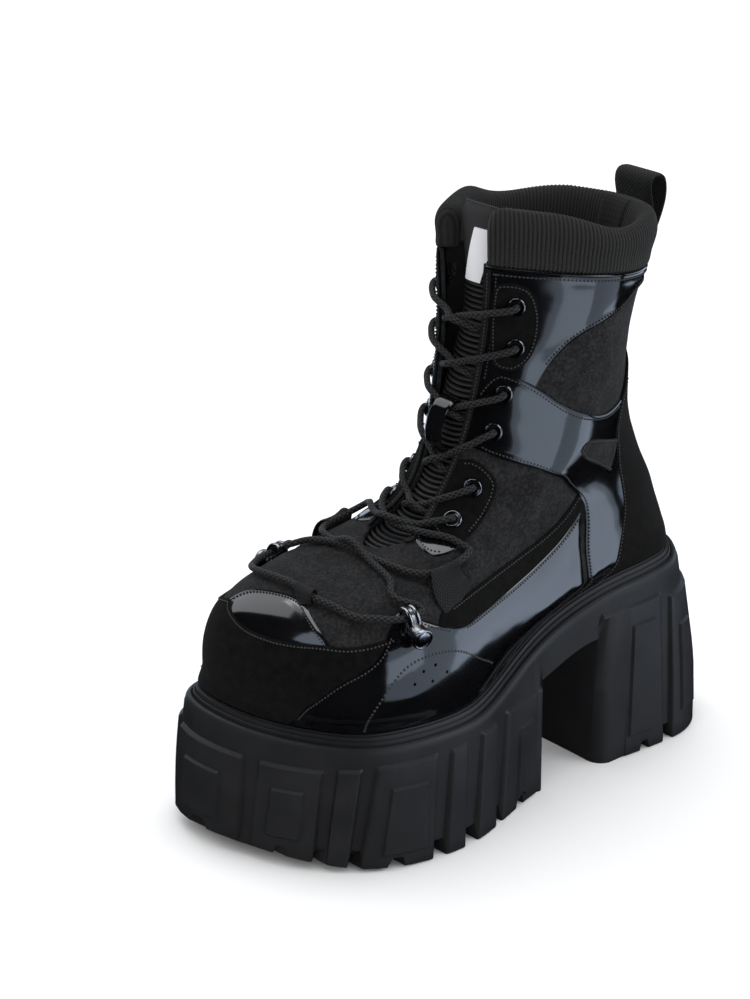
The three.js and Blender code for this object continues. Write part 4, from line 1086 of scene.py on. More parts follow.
def rounded(prof, n, closed=True):
    C = fit(prof, closed)
    return at(C, np.linspace(0, len(prof) - (0 if closed else 1), n, endpoint=not closed), closed)


cutter = Bag()
pcut = Bag()
for s in (1, -1):
    for v, p, z in EYELETS:
        c, n, a, b = local(v, s * p)
        th = np.linspace(0, 2 * np.pi, 20, endpoint=False)
        ring = lambda h, r=2.42: c + n * h + r * (a * np.cos(th)[:, None] + b * np.sin(th)[:, None])
        V = np.concatenate([ring(-7), ring(6)])
        cutter.add(V, [quads(2, 20, False, True), np.arange(20)[None, ::-1], (np.arange(20) + 20)[None]])
    for v, p in PERF:
        c, n, a, b = local(v, s * p)
        th = np.linspace(0, 2 * np.pi, 14, endpoint=False)
        ring = lambda h, r=0.8: c + n * h + r * (a * np.cos(th)[:, None] + b * np.sin(th)[:, None])
        V = np.concatenate([ring(0.7), ring(4)])
        pcut.add(V, [quads(2, 14, False, True), np.arange(14)[None, ::-1], (np.arange(14) + 14)[None]])


def bag_object(bag, name):
    me = bpy.data.meshes.new(name)
    me.from_pydata(((np.concatenate(bag.V) + OFF) / 1000).tolist(), [], [f for F in bag.F for f in F.tolist()])
    me.materials.append(M["lining"])
    o = bpy.data.objects.new(name, me)
    bpy.context.scene.collection.objects.link(o)
    return o


def cut(objs, tool):
    for o in objs:
        m = o.modifiers.new("cut", "BOOLEAN")
        m.operation, m.object, m.solver = "DIFFERENCE", tool, "EXACT"
    dg = bpy.context.evaluated_depsgraph_get()
    for o in objs:
        me = bpy.data.meshes.new_from_object(o.evaluated_get(dg), preserve_all_data_layers=True, depsgraph=dg)
        o.modifiers.clear()
        me.name = o.name
        o.data = me
    bpy.data.objects.remove(tool)


by = bpy.data.objects
cut([base] + [by[f"{n}_{sd}"] for n in ("eyelet_patch_low", "eyelet_patch_top", "ankle_band", "top_band") for sd in ("lateral", "medial")], bag_object(cutter, "eyelet_cutter"))
cut([by["wing_lateral"], by["wing_medial"]], bag_object(pcut, "perforation_cutter"))

for s, side in ((1, "lateral"), (-1, "medial")):
    for i, (v, p, z) in enumerate(EYELETS):
        c, n, a, b = local(v, s * p)
        prof = rounded([(2.02, -2.4), (2.36, -2.4), (2.38, z - 0.6), (2.6, z - 0.12), (4.3, z - 0.12), (4.6, z + 0.22), (4.25, z + 0.85), (3.5, z + 1.15), (2.7, z + 0.8), (2.08, z + 0.05)], 30)
        V, F = revolve(c, n, a, b, prof, 36)
        make(f"ring_{side}_{i + 1}", V, F, "black_nickel", smooth=50, replaces=(f"eyelet_{side}_{i + 1}",))

# ---------------------------------------------------------------- collar: padded rib knit

COLLAR = fit([[0, 0], [0.3, -0.8], [0.62, -0.9], [0.86, 0.6], [1, 3.4], [1.01, 6.2], [0.86, 9.2], [0.5, 10.2], [0.15, 9.6], [0, 8.2]], True)


def collar_point(p, h, d, extra=0.0):
    q = (np.where(p < 5, p, NP - p) - 3.1) / 0.75
    dip = 1 - 0.22 * np.exp(-q * q)
    low = 1 - 0.22 * sstep(NP - 2.6, NP - 1.2, p)
    t = np.minimum(p - P0, NP - P0 - p)
    rnd = 1 - 0.28 * np.exp(-np.maximum(t, 0) / 0.166)
    v = V_SEAM + 0.012 + h * rnd * dip * low
    v = np.minimum(v, V_TOP + 0.05)
    P, N = skin(v, p), normal(v, p)
    return P - N * (d - extra)[..., None], N


P0 = float(p_at_x(12.4, throat_half(12.4))) + 0.04


def build_collar():
    k, m = 900, 34
    e = np.linspace(0, 1, k)
    P = P0 + (NP - 2 * P0) * e
    t = np.minimum(P - P0, NP - P0 - P) * 24          # mm from the front end, roughly
    uu = np.linspace(0, 10, m, endpoint=False)
    prof = at(COLLAR, uu, True)
    H, D = np.clip(prof[:, 0], 0.0, 2), prof[:, 1]
    shrink = np.sqrt(np.clip(1 - (1 - np.clip(t / 4.0, 0, 1)) ** 2, 0.02, 1))
    PP = np.broadcast_to(P[:, None], (k, m))
    HH = 0.5 + (H[None] - 0.5) * (0.75 + 0.25 * shrink[:, None])
    DD = 4.4 + (D[None] - 4.4) * shrink[:, None]
    # rib phase by arc length along the middle of the outside
    C, _ = collar_point(P, np.full(k, 0.5), np.zeros(k))
    s = np.r_[0, np.cumsum(np.linalg.norm(np.diff(C, axis=0), axis=1))]
    rib = np.abs(np.cos(np.pi * s / 2.05)) ** 0.8
    outside = 1 - sstep(3.6, 8.4, D) * 0.62
    body = 0.25 * np.sin(s / 17.0) + 0.18 * np.sin(s / 7.3 + 1)
    lift = (rib[:, None] - 0.6) * 0.62 * outside[None] * np.clip(t[:, None] / 2.5, 0, 1) + body[:, None] * (np.clip(H, 0, 1) ** 0.6)[None]
    X, N = collar_point(PP, HH, DD)
    cen = X.mean(1, keepdims=True)
    away = X - cen
    away /= np.linalg.norm(away, axis=2)[..., None] + 1e-9
    X = X + away * lift[..., None]
    g = np.r_[0, np.cumsum(np.hypot(np.diff(np.clip(prof[:, 0], 0, 2)) * 26, np.diff(prof[:, 1])))]
    UV = np.stack(np.broadcast_arrays(s[:, None] / 2.05, g[None] / 1.5), -1)
    V = X.reshape(-1, 3)
    F = [quads(k, m, False, True)]
    n = len(V)
    ends = np.array([X[0].mean(0), X[-1].mean(0)])
    j = np.arange(m)
    F.append(np.stack([np.full(m, n), (j + 1) % m, j], -1))
    F.append(np.stack([np.full(m, n + 1), (k - 1) * m + j, (k - 1) * m + (j + 1) % m], -1))
    return make("collar_knit", np.concatenate([V, ends]), F, "knit", smooth=80, uv=np.concatenate([UV.reshape(-1, 2), [[0, 0], [0, 0]]]), welded=False, replaces=("collar",))


build_collar()


def inner_strip():
    """Textile strip up the inside of the collar's back."""
    k, m = 24, 24
    P = np.linspace(4.70, 5.30, k)
    prof = at(COLLAR, np.linspace(4.6, 8.6, m), True)
    PP, HH = np.broadcast_to(P[:, None], (k, m)), np.broadcast_to(prof[None, :, 0], (k, m))
    DD = np.broadcast_to(prof[None, :, 1], (k, m))
    edge = 1 - np.abs(np.linspace(-1, 1, k)) ** 10
    top, _ = collar_point(PP, HH, DD + 0.9 * edge[:, None] + 0.1)
    low, _ = collar_point(PP, HH, DD - 0.8)
    n = k * m
    q = quads(k, m)
    rim_i = np.concatenate([np.arange(m), np.arange(1, k) * m + m - 1, (k - 1) * m + np.arange(m - 2, -1, -1), np.arange(k - 2, 0, -1) * m])
    nxt = np.roll(rim_i, -1)
    F = [q, q[:, ::-1] + n, np.stack([nxt, rim_i, rim_i + n, nxt + n], -1)]
    UV = np.stack(np.broadcast_arrays(np.linspace(0, 8, k)[:, None], np.linspace(0, 14, m)[None]), -1).reshape(-1, 2)
    return make("collar_back_strip", np.concatenate([top.reshape(-1, 3), low.reshape(-1, 3)]), F, "knit_in", smooth=60, uv=np.concatenate([UV, UV]), welded=False)


inner_strip()

# ---------------------------------------------------------------- tongue

def tongue_in(v):
    return WALL + 0.6 + 9.0 * sstep(8.8, 11.6, v)


def tongue_point(v, f, off):
    v, f, off = np.broadcast_arrays(np.asarray(v, float), np.asarray(f, float), np.asarray(off, float))
    h = at(TONGUE_HALF, np.clip((v - 5.2) / 7.8 * 4, 0, 4), False)[..., 1]
    x = f * h
    p = p_at_x(np.minimum(v, V_TOP), np.where(np.abs(x) < 1e-3, 1e-3, x))
    vv = np.minimum(v, V_TOP)
    return skin(vv, p) + normal(vv, p) * (off - tongue_in(v))[..., None]


def build_tongue():
    nr, nc = 420, 41
    v = np.linspace(5.35, 12.86, nr)
    f = np.linspace(-1, 1, nc)
    f = np.sign(f) * np.abs(f) ** 0.9
    mid = tongue_point(v, np.zeros(nr), 0)
    s = np.r_[0, np.cumsum(np.linalg.norm(np.diff(mid, axis=0), axis=1))]
    ribbed = sstep(5.7, 6.0, v) * (1 - sstep(11.62, 11.72, v))
    rib = (np.abs(np.sin(np.pi * s / 2.6)) ** 0.8 - 0.62) * 1.6
    pad = (1 - np.abs(f) ** 4)
    lift = rib[:, None] * ribbed[:, None] * (1 - sstep(0.93, 0.99, np.abs(f)))[None] - 0.35 + 0.5 * (sstep(11.7, 12.1, v) * (1 - sstep(12.5, 12.86, v)))[:, None] * pad[None]
    edge = (1 - 0.55 * np.abs(f) ** 8)[None]
    top_round = np.sqrt(np.clip(1 - sstep(12.55, 12.86, v) ** 2 * 0.9, 0.05, 1))[:, None]
    front = tongue_point(v[:, None], f[None], lift * edge - 2.5 * (1 - top_round))
    back = tongue_point(v[:, None], f[None], -5.0 * edge * (0.5 + 0.5 * top_round))
    n = nr * nc
    q = quads(nr, nc)
    rim_i = np.concatenate([np.arange(nc), np.arange(1, nr) * nc + nc - 1, (nr - 1) * nc + np.arange(nc - 2, -1, -1), np.arange(nr - 2, 0, -1) * nc])
    nxt = np.roll(rim_i, -1)
    F = [q, q[:, ::-1] + n, np.stack([nxt, rim_i, rim_i + n, nxt + n], -1)]
    UV = np.stack(np.broadcast_arrays(f[None] * 12, np.where(ribbed > 0.5, s / 2.6, 0.42)[:, None]), -1).reshape(-1, 2)
    return make("tongue_padded", np.concatenate([front.reshape(-1, 3), back.reshape(-1, 3)]), F, "ribbed", smooth=70, uv=np.concatenate([UV, UV]), welded=False, replaces=("tongue",))


build_tongue()


def patch_on_tongue(name, v0, v1, f0, f1, off, thick, mat, tu=10, tv=20, lean=0.0):
    nr, nc = 24, 12
    v, f = np.linspace(v0, v1, nr), np.linspace(f0, f1, nc)
    lay = f[None] + lean * np.linspace(0, 1, nr)[:, None]
    top = tongue_point(v[:, None], lay, off + thick)
    low = tongue_point(v[:, None], lay, off - 0.2)
    n = nr * nc
    q = quads(nr, nc)
    rim_i = np.concatenate([np.arange(nc), np.arange(1, nr) * nc + nc - 1, (nr - 1) * nc + np.arange(nc - 2, -1, -1), np.arange(nr - 2, 0, -1) * nc])
    nxt = np.roll(rim_i, -1)
    F = [q, q[:, ::-1] + n, np.stack([nxt, rim_i, rim_i + n, nxt + n], -1)]
    UV = np.stack(np.broadcast_arrays(np.linspace(0, tu, nc)[None], np.linspace(0, tv, nr)[:, None]), -1).reshape(-1, 2)
    return make(name, np.concatenate([top.reshape(-1, 3), low.reshape(-1, 3)]), F, mat, smooth=40, uv=np.concatenate([UV, UV]), welded=False)


patch_on_tongue("tongue_label", 11.54, 12.44, -0.42, 0.28, 0.45, 0.5, "label", 26, 40, lean=0.56)

# ---------------------------------------------------------------- webbing

def strap_mesh(P, W, thick, cell=0.85, k=12):
    """Flat tape along P; W gives each point's width vector (half width long)."""
    P, W = np.asarray(P, float), np.asarray(W, float)
    n = len(P)
    T = np.gradient(P, axis=0)
    T /= np.linalg.norm(T, axis=1)[:, None] + 1e-9
    Wn = W - T * (W * T).sum(1)[:, None]
    hw = np.linalg.norm(Wn, axis=1)
    Wn /= hw[:, None]
    N = np.cross(T, Wn)
    x = np.linspace(-1, 1, k)
    x = np.sign(x) * (1 - (1 - np.abs(x)) ** 1.2)
    h = thick / 2 * (1 - np.abs(x) ** 12 * 0.65)
    sec = np.concatenate([np.stack([x, h], -1), np.stack([x[::-1], -h[::-1]], -1)])
    G = P[:, None] + Wn[:, None] * (sec[None, :, 0] * hw[:, None])[..., None] + N[:, None] * sec[None, :, 1, None]
    s = np.r_[0, np.cumsum(np.linalg.norm(np.diff(P, axis=0), axis=1))]
    UV = np.stack(np.broadcast_arrays(sec[None, :, 0] * hw.mean() / cell, s[:, None] / cell), -1)
    m = len(sec)
    V = G.reshape(-1, 3)
    F = [quads(n, m, False, True), np.arange(m)[None, ::-1], ((n - 1) * m + np.arange(m))[None]]
    return V, F, UV.reshape(-1, 2)


def strap_piece(name, pts, width, thick, direction, mat, step=0.7, replaces=(), cell=0.85):
    P = smooth_path(pts, step)
    W = np.broadcast_to(np.asarray(direction, float) / np.linalg.norm(direction) * width / 2, P.shape)
    V, F, UV = strap_mesh(P, W, thick, cell)
    return make(name, V, F, mat, smooth=50, uv=UV, welded=False, replaces=replaces)


strap_piece("pull_tape", [(0, LOOP_Y + y, z) for y, z in [(3.2, 252), (4.2, 258), (4.2, 266), (2.6, 274), (2.6, 279), (4.6, 281.6), (8, 282), (11, 280.4), (12.4, 276), (12.2, 270), (10.0, 263), (6.8, 256)]],
            24, 1.6, (1, 0, 0), "webbing", replaces=("pull_loop",), cell=1.0)


def keeper():
    v = 9.1
    c = tongue_point(v, 0.0, 0.0)
    up = tongue_point(v + .2, 0.0, 0.0) - tongue_point(v - .2, 0.0, 0.0)
    up /= np.linalg.norm(up)
    n = normal(v, 0.0)
    pts = [c + up * s + n * z for s, z in [(-12, 0.6), (-11.2, 3.4), (-8.6, 6.4), (-3.5, 7.9), (3.5, 7.9), (8.6, 6.4), (11.2, 3.4), (12, 0.6)]]
    return strap_piece("tongue_keeper", pts, 11, 1.1, (1, 0, 0), "patent", step=0.8, replaces=("keeper_loop",))


keeper()


def vp_strap(name, rows, thick, mat, replaces=(), cell=0.8):
    """Tape laid by rows of left (v, p), right (v, p) and height above the upper."""
    L = smooth_path([skin(a, b) + normal(a, b) * h for (a, b), _, h in rows], 0.5)
    R = smooth_path([skin(a, b) + normal(a, b) * h for _, (a, b), h in rows], 0.5)
    t = np.linspace(0, 1, 70)
    ev = lambda A: np.stack([np.interp(t, np.linspace(0, 1, len(A)), A[:, i]) for i in range(3)], -1)
    L, R = ev(L), ev(R)
    V, F, UV = strap_mesh((L + R) / 2, (R - L) / 2, thick, cell)
    return make(name, V, F, mat, smooth=50, uv=UV, welded=False, replaces=replaces)


for s, side in ((1, "lateral"), (-1, "medial")):
    row = lambda t, h: ((mix(3.33, 4.77, t), s * mix(2.03, 1.64, t)), (mix(3.54, 5.02, t), s * mix(2.40, 1.88, t)), h)
    vp_strap(f"vamp_loop_{side}", [row(-0.03, 0.1), row(0.3, 0.6), (row(0.62, 0.7)), row(0.84, 0.9), row(0.97, 1.6), row(1.02, 3.2), row(0.95, 4.9), row(0.80, 4.9), row(0.6, 3.4), row(0.35, 2.0), row(0.12, 1.3), row(-0.03, 0.4)], 1.0, "webbing", replaces=(f"loop_{side}",))
row = lambda t, h: ((mix(4.03, 4.28, t), mix(0.42, 0.31, t)), (mix(3.91, 4.15, t), mix(0.61, 0.58, t)), h)
vp_strap("toe_loop", [row(-0.05, 0.2), row(0.2, 0.5), row(0.5, 0.7), row(0.95, 1.0), row(1.28, 2.2), row(1.32, 3.6), row(1.05, 5.2), row(0.6, 4.9), row(0.3, 3.2), row(0.1, 1.8), row(-0.08, 1.2)], 1.0, "webbing", replaces=("loop_toe",))

# ---------------------------------------------------------------- hooks

def hook(side, s):
    B, F0 = skin(2.98, s * 1.72), skin(3.80, s * 1.56)
    c = (B + F0) / 2
    n = normal(3.4, s * 1.64)
    l = B - F0
    l -= n * (l @ n)
    l /= np.linalg.norm(l)
    w = np.cross(n, l)
    bag = Bag()
    at_l = lambda a, h, b=0: c + l * a + n * h + w * b
    z = 1.7
    # base plate along the leather
    P = np.array([at_l(a, z + 0.15) for a in np.linspace(-7.0, 6.6, 24)])
    hw = 3.5 * np.sqrt(np.clip(1 - (np.linspace(-1, 1, 24) * 0.97) ** 6, 0.05, 1))
    V, F, UV = strap_mesh(P, w[None] * hw[:, None], 1.1, 1.0, 14)
    bag.add(V, F, UV)
    # two ribs and the web between them, bent over the lace
    way = [(-6.0, z + 0.4), (-6.8, z + 2.4), (-5.6, z + 4.8), (-3.0, z + 6.1), (0.2, z + 6.0), (3.2, z + 5.0), (5.2, z + 3.6)]
    for b in (-1.9, 1.9):
        path = smooth_path([(a, h, 0) for a, h in way], 0.35)
        P = [at_l(a, h, b * (1 - 0.12 * max(0, a) / 4)) for a, h, _ in path]
        V, F, UV = tube_mesh(P, 1.35, 14, up=w)
        bag.add(V, F, UV)
    path = smooth_path([(a, h - 0.15, 0) for a, h in way], 0.35)
    P = np.array([at_l(a, h) for a, h, _ in path])
    V, F, UV = strap_mesh(P, np.broadcast_to(w * 2.0, P.shape), 1.3, 1.0, 10)
    bag.add(V, F, UV)
    # barrel with its rim and flat cap, and the post that carries it
    ax = l * 0.72 + n * 0.69
    ax /= np.linalg.norm(ax)
    e1 = np.cross(w, ax)
    pr = np.array([(0, 0), (2.4, 0), (3.3, 0.4), (3.7, 1.3), (3.7, 4.9), (4.0, 5.2), (4.1, 6.1), (3.9, 6.6), (3.5, 6.75), (3.2, 6.55), (3.12, 6.2), (3.02, 6.5), (2.8, 6.72), (1.5, 6.95), (0, 7.05)])
    V, F = revolve(at_l(3.6, z + 2.2), ax, e1, w, pr * 1.26, 36, closed=False)
    bag.add(V, F)
    pr = np.array([(0, z - 0.5), (2.3, z - 0.5), (2.3, z + 3.4), (1.6, z + 4.0), (0, z + 4.0)])
    V, F = revolve(at_l(4.6, 0), n, l, w, pr, 24, closed=False)
    bag.add(V, F)
    return bag.make(f"speed_hook_{side}", "gunmetal", smooth=40, replaces=(f"hook_{side}",))


hook("lateral", 1)
hook("medial", -1)

# ---------------------------------------------------------------- lace: two ends of one cord from the toe loop to the top eyelets

def above(v, p, h):
    return skin(v, p) + normal(v, p) * h


def strand(s, over):
    """Points of one half of the lace that starts at the toe loop towards side s. over: this half lies on top where they cross."""
    base_h = CORD / 2 + 0.25
    top = 3.9 if over else 0.0
    P = []
    if s > 0:
        P += [above(4.22, 0.40, 3.0), above(4.10, 0.62, 2.9), above(3.99, 0.82, 2.7), above(3.84, 0.98, 2.4), above(3.70, 1.14, 2.9), above(3.62, 1.32, 4.2)]
    else:
        P += [above(4.22, 0.40, 3.0), above(4.34, 0.16, 2.9), above(4.24, -0.32, 2.6), above(3.95, -0.80, 2.6), above(3.72, -1.12, 3.0), above(3.62, -1.32, 4.2)]
    P += [above(3.52, s * 1.52, 5.0), above(3.58, s * 1.72, 4.9), above(3.85, s * 1.66, 4.2), above(4.1, s * 1.46, 3.4)]
    for v, p, up in [(4.45, 1.28, .3), (4.80, 1.16, 0), (5.22, 0.86, 0), (5.56, 0.44, 0.2), (5.70, 0.00, .4), (5.60, -0.50, 0.1), (5.32, -1.00, 0.1), (5.05, -1.32, 0.5)]:
        P.append(above(v, s * p, base_h + up + top * math.exp(-(p / 0.30) ** 2)))
    q = -s
    P += [above(4.86, q * 1.58, 3.2), above(4.85, q * 1.74, 3.4), above(4.96, q * 1.92, 3.3), above(5.22, q * 1.98, 2.9), above(5.52, q * 1.84, 2.7)]
    for v, p, up in [(5.85, 1.62, .3), (6.15, 1.36, .9), (6.40, 1.02, 1.0), (6.58, 0.60, 0.9), (6.68, 0.10, .6), (6.75, -0.45, 1.0), (6.82, -0.80, 1.7)]:
        P.append(above(v, q * p, base_h + up + top * math.exp(-(p / 0.30) ** 2)))
    side = s
    for i in range(5, -1, -1):
        v, p, z = EYELETS[i]
        c, n = skin(v, side * p), normal(v, side * p)
        P += [c + n * (z + 2.6) + (above(v - 0.05, side * (p - 0.17), z + 2.2) - c - n * (z + 2.2)) * 0.9, c + n * (z + 1.9), c + n * (z - 0.5), c - n * 2.6]
        if i == 0:
            P += [above(v + 0.12, side * (p + 0.02), -4.4), above(v + 0.3, side * (p + 0.06), -4.8)]
            break
        v2, p2, z2 = EYELETS[i - 1]
        to = -side
        v0 = mix(v, v2, 0.42)
        pe = float(edge_p(v0))
        P += [above(mix(v, v0, 0.45), side * (p - 0.22), -4.3), above(mix(v, v0, 0.85), side * (pe + 0.10), -3.6)]
        p0 = side * float(p_at_x(v0, throat_half(v0) - 2.9))
        for t in np.linspace(0.0, 0.80, 9):
            vv, q = mix(v0, v2, t), mix(p0, to * p2, t)
            lift = mix(-0.9, CORD / 2 + 0.5, float(sstep(0.38, 0.70, t))) + (z2 - 0.4) * float(sstep(0.55, 0.85, t))
            c = math.exp(-(q / 0.26) ** 2)
            P.append(above(vv, q, lift + (3.2 if over else -0.3) * c))
        side = to
    return P


for name, s, over, nodes in (("lace_end_a", 1, True, ("lace_toe_lateral", "lace_vamp", "lace_cross_1", "lace_cross_3", "lace_cross_5")), ("lace_end_b", -1, False, ("lace_toe_medial", "lace_low", "lace_cross_2", "lace_cross_4"))):
    P = smooth_path(strand(s, over), 0.75)
    print("cord", name, "mm", round(float(np.linalg.norm(np.diff(P, axis=0), axis=1).sum()), 1))
    V, F, UV = tube_mesh(P, CORD / 2 - 0.42, 14, threads=10, pitch=1.45)
    make(name, V, F, "cord", smooth=60, uv=UV, welded=False, replaces=nodes)

# ---------------------------------------------------------------- stitching

def seam(path, off, shift=0.0, towards=None, both=True, smooth=True, pitch=1.75, length=1.2, r=0.30, ring=False, bag=None):
    r = r * 1.2
    for mir in ((False, True) if both else (False,)):
        D = densify(path, 14 * len(path), ring) if smooth else poly_dense(path)
        if ring:
            D = np.vstack([D, D[:1]])
        v, p = D[:, 0], D[:, 1] * (-1 if mir else 1)
        P, N = shell(v, p, off), normal(v, p)
        T = np.gradient(P, axis=0)
        T /= np.linalg.norm(T, axis=1)[:, None] + 1e-9
        B = np.cross(N, T)
        if shift:
            aim = skin(towards[0], towards[1] * (-1 if mir else 1))
            k = len(P) // 2
            sg = 1 if (aim - P[k]) @ B[k] > 0 else -1
            P = P + B * sg * shift
        stitches(P, N, pitch, length, r, bag=bag)


SEAMS = [
    # path, height of the surface it is sewn on, shift mm, towards, both sides, ring
    (cap_top, 1.22, 1.9, (1.5, 0.0), False, False),
    ([(3.90, 0.56), (3.4, 0.78), (2.98, 0.95)], 0.95, 1.5, (3.0, 0.2), False, False),
    ([(3.38, -0.34), (3.80, -0.2), (4.05, 0.12), (4.05, 0.40), (3.88, 0.56)], 0.95, 1.3, (3.2, 0.2), False, False),
    ([(0.45, 0.68), (1.2, 0.88), (1.85, 1.08), (2.25, 1.28), (2.65, 1.42), (3.15, 1.47)], 1.42, 1.7, (1.5, 2.0), True, False),
    ([(3.55, 1.70), (3.12, 1.94), (2.78, 2.13)], 1.42, 1.6, (1.5, 2.0), True, False),
    ([(2.60, 2.30), (2.60, 2.44), (2.66, 2.66), (2.78, 2.96), (3.14, 3.26), (3.62, 3.42)], 1.42, 1.6, (1.0, 2.7), True, False),
    ([(0.12, 1.24), (0.70, 1.32), (1.28, 1.43), (1.68, 1.52), (2.08, 1.64), (2.27, 1.80), (2.20, 2.03), (1.80, 2.27), (1.10, 2.46), (0.75, 2.56)], 1.62, 0, None, True, False),
    ([(3.40, 2.12), (3.55, 2.41), (3.66, 2.78), (3.84, 3.2), (4.5, 3.42)], 1.0, 1.5, (3.0, 2.7), True, False),
    ([(9.74, 0.80), (9.98, 0.98), (10.10, 1.18), (10.03, 1.46), (9.66, 1.98), (9.03, 2.54), (8.43, 3.03), (7.95, 3.45), (7.75, 3.78)], 1.32, 1.6, (8.5, 2.0), True, False),
    ([(0.2, 3.45), (1.7, 3.47), (2.9, 3.50), (3.9, 3.50), (4.8, 3.36), (5.7, 3.14), (6.6, 2.86), (7.55, 2.33), (8.2, 1.66), (8.60, 1.10)], 1.32, 1.6, (6.5, 3.6), True, False),
    ([(11.60, 4.2), (11.50, 3.61), (11.20, 3.24), (10.85, 2.65), (10.45, 2.28), (10.12, 2.10)], 1.0, 1.6, (11.6, 2.0), True, False),
    ([(11.74, 1.52), (11.60, 1.72), (11.20, 1.85), (10.70, 1.84), (10.33, 1.72), (10.15, 1.48), (10.2, 1.2), (10.42, 1.0), (11.0, 0.94), (11.5, 0.97), (11.72, 1.06), (11.76, 1.30)], 1.58, 1.5, (10.95, 1.4), True, True),
    ([(8.40, 0.80), (8.38, 1.0), (8.15, 1.31), (7.73, 1.60), (7.30, 1.71), (6.62, 1.76), (6.05, 1.74)], 1.12, 1.4, (7.4, 1.1), True, False),
    ([(5.85, 1.60), (6.10, 1.38), (6.50, 1.04), (6.90, 0.74)], 1.12, 1.3, (7.4, 1.3), True, False),
    ([(6.58, 0.60), (6.22, 0.88), (5.86, 1.22), (5.68, 1.46)], 0.95, 1.0, (6.6, 1.1), True, False),
    ([(8.35, 4.06), (7.3, 3.80), (5.5, 3.88), (3.5, 3.90), (1.8, 3.78), (0.25, 3.60)], 1.68, 1.5, (4.0, 4.6), True, False),
    ([(7.33, 3.01), (7.55, 3.1), (7.05, 3.43), (5.85, 3.88)], 1.86, 1.2, (6.4, 3.45), True, False),
    ([(4.53, 3.79), (5.65, 3.5), (7.33, 3.01)], 1.86, 1.2, (6.4, 3.45), True, False),
]
for path, off, shift, towards, both, ring in SEAMS:
    seam(path, off, shift, towards, both, ring=ring, r=0.52 if off == 1.62 else 0.36, length=1.3 if off == 1.62 else 1.2, pitch=2.05 if off == 1.62 else 1.75)
seam([(v, float(edge_p(v)) + 0.10) for v in np.linspace(11.9, 6.4, 24)], 1.42, both=True, pitch=1.7)
seam([(v, float(edge_p(v)) + 0.27) for v in np.linspace(11.9, 10.0, 12)], 0.95, both=True, pitch=1.7)
seam([(11.88, p) for p in np.linspace(0.95, 9.05, 60)], 1.0, both=False, pitch=1.9, length=1.45, r=0.36)
STITCH.make("stitching", "thread", smooth=80)

# bead of folded leather under the collar
D = np.stack([np.full(200, 11.97), np.linspace(P0 + 0.02, NP - P0 - 0.02, 200)], -1)
V, F, UV = tube_mesh(shell(D[:, 0], D[:, 1], 0.5), 0.75, 10)
make("collar_piping", V, F, "patent", smooth=60, uv=UV, welded=False)

# ---------------------------------------------------------------- floor, light, camera

def stage_mat(name, col, rough):
    m, nt, b = new_mat(name)
    b.inputs["Base Color"].default_value = (*col, 1)
    b.inputs["Roughness"].default_value = rough
    b.inputs["Specular IOR Level"].default_value = 0.1
    return m


fm = bpy.data.meshes.new("floor")
fm.from_pydata([(-6, -6, 0), (6, -6, 0), (6, 6, 0), (-6, 6, 0)], [], [(0, 1, 2, 3)])
fm.materials.append(stage_mat("floor_paper", (0.93, 0.93, 0.93), 0.9))
floor = bpy.data.objects.new("floor", fm)
bpy.context.scene.collection.objects.link(floor)

world = bpy.data.worlds.new("studio")
bpy.context.scene.world = world
world.use_nodes = True
world.node_tree.nodes["Background"].inputs["Color"].default_value = (1, 1, 1, 1)
world.node_tree.nodes["Background"].inputs["Strength"].default_value = 0.95
world.cycles_visibility.glossy = False


def soft_light(name, loc, target, size, power):
    d = bpy.data.lights.new(name, "AREA")
    d.shape, d.size, d.size_y, d.energy = "RECTANGLE", size[0], size[1], power
    d.color = (0.93, 0.96, 1.0)
    o = bpy.data.objects.new(name, d)
    bpy.context.scene.collection.objects.link(o)
    o.location = loc
    o.rotation_euler = (Vector(target) - Vector(loc)).to_track_quat("-Z", "Y").to_euler()
    return o


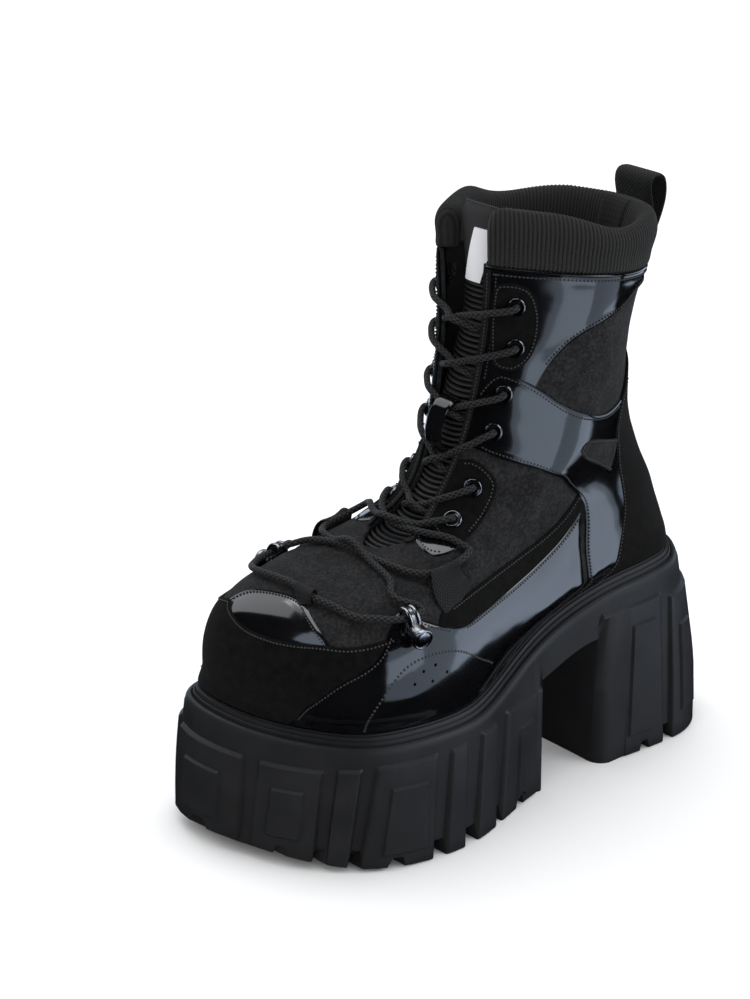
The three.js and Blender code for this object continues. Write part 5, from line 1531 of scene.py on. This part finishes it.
soft_light("key_top", (-0.3, 0.2, 2.0), (0, 0, 0.1), (1.6, 1.6), 16)
soft_light("side_right", (1.3, 0.9, 1.0), (0, 0, 0.15), (0.9, 0.9), 7)
soft_light("side_left", (-1.0, -0.2, 1.05), (0, 0, 0.15), (0.9, 0.9), 3.0)
for name, loc, size, power in (("card_right", (0.46, 0.20, 0.06), (0.66, 0.36), 0.50), ("card_left", (-0.45, 0.18, 0.08), (0.62, 0.34), 0.6), ("card_back", (0.05, 0.62, 0.16), (0.5, 0.30), 0.4), ("card_front", (0.06, -0.75, 0.75), (0.34, 0.34), 0.45)):
    c = soft_light(name, loc, (0, 0, 0.12), size, power)
    c.data.color = (0.78, 0.93, 1.15)
    c.visible_diffuse = False
    c.visible_camera = False
for name, loc, size, power in (("card_band", (0.406, 0.002, 0.085), (0.25, 0.105), 0.062), ("card_wing", (0.254, 0.317, 0.0), (0.15, 0.13), 0.042)):
    c = soft_light(name, loc, (loc[0] - 0.9, loc[1] - 0.436, loc[2]), size, power)
    c.data.color = (0.78, 0.93, 1.15)
    c.visible_diffuse = False
    c.visible_camera = False
floor.visible_glossy = False

cam_d = bpy.data.cameras.new("camera")
cam = bpy.data.objects.new("camera", cam_d)
bpy.context.scene.collection.objects.link(cam)
bpy.context.scene.camera = cam
a_, e_ = math.radians(50), math.radians(22.2)
back = Vector((math.sin(a_) * math.cos(e_), -math.cos(a_) * math.cos(e_), math.sin(e_)))
cam.location = Vector(((OFF[0] - 69) / 1000, (OFF[1] - 1.5) / 1000, 0.12)) + back * 1.3
cam.rotation_mode = "QUATERNION"
cam.rotation_quaternion = (-back).to_track_quat("-Z", "Y")
cam_d.sensor_width = 36
cam_d.lens = 2650 * 36 / 999
cam_d.clip_start, cam_d.clip_end = 0.05, 50
bpy.context.scene.view_settings.view_transform = "Standard"

for n, o in frame["nodes"].items():
    if o.hide_render:
        continue
    kind = "black_nickel" if n.startswith("eyelet") else "gunmetal" if n.startswith("hook") else "cord" if n.startswith("lace") else "lining" if n == "insole" else "patent" if n == "keeper_loop" else "webbing" if "loop" in n else "knit"
    o.data.materials.clear()
    o.data.materials.append(M[kind])
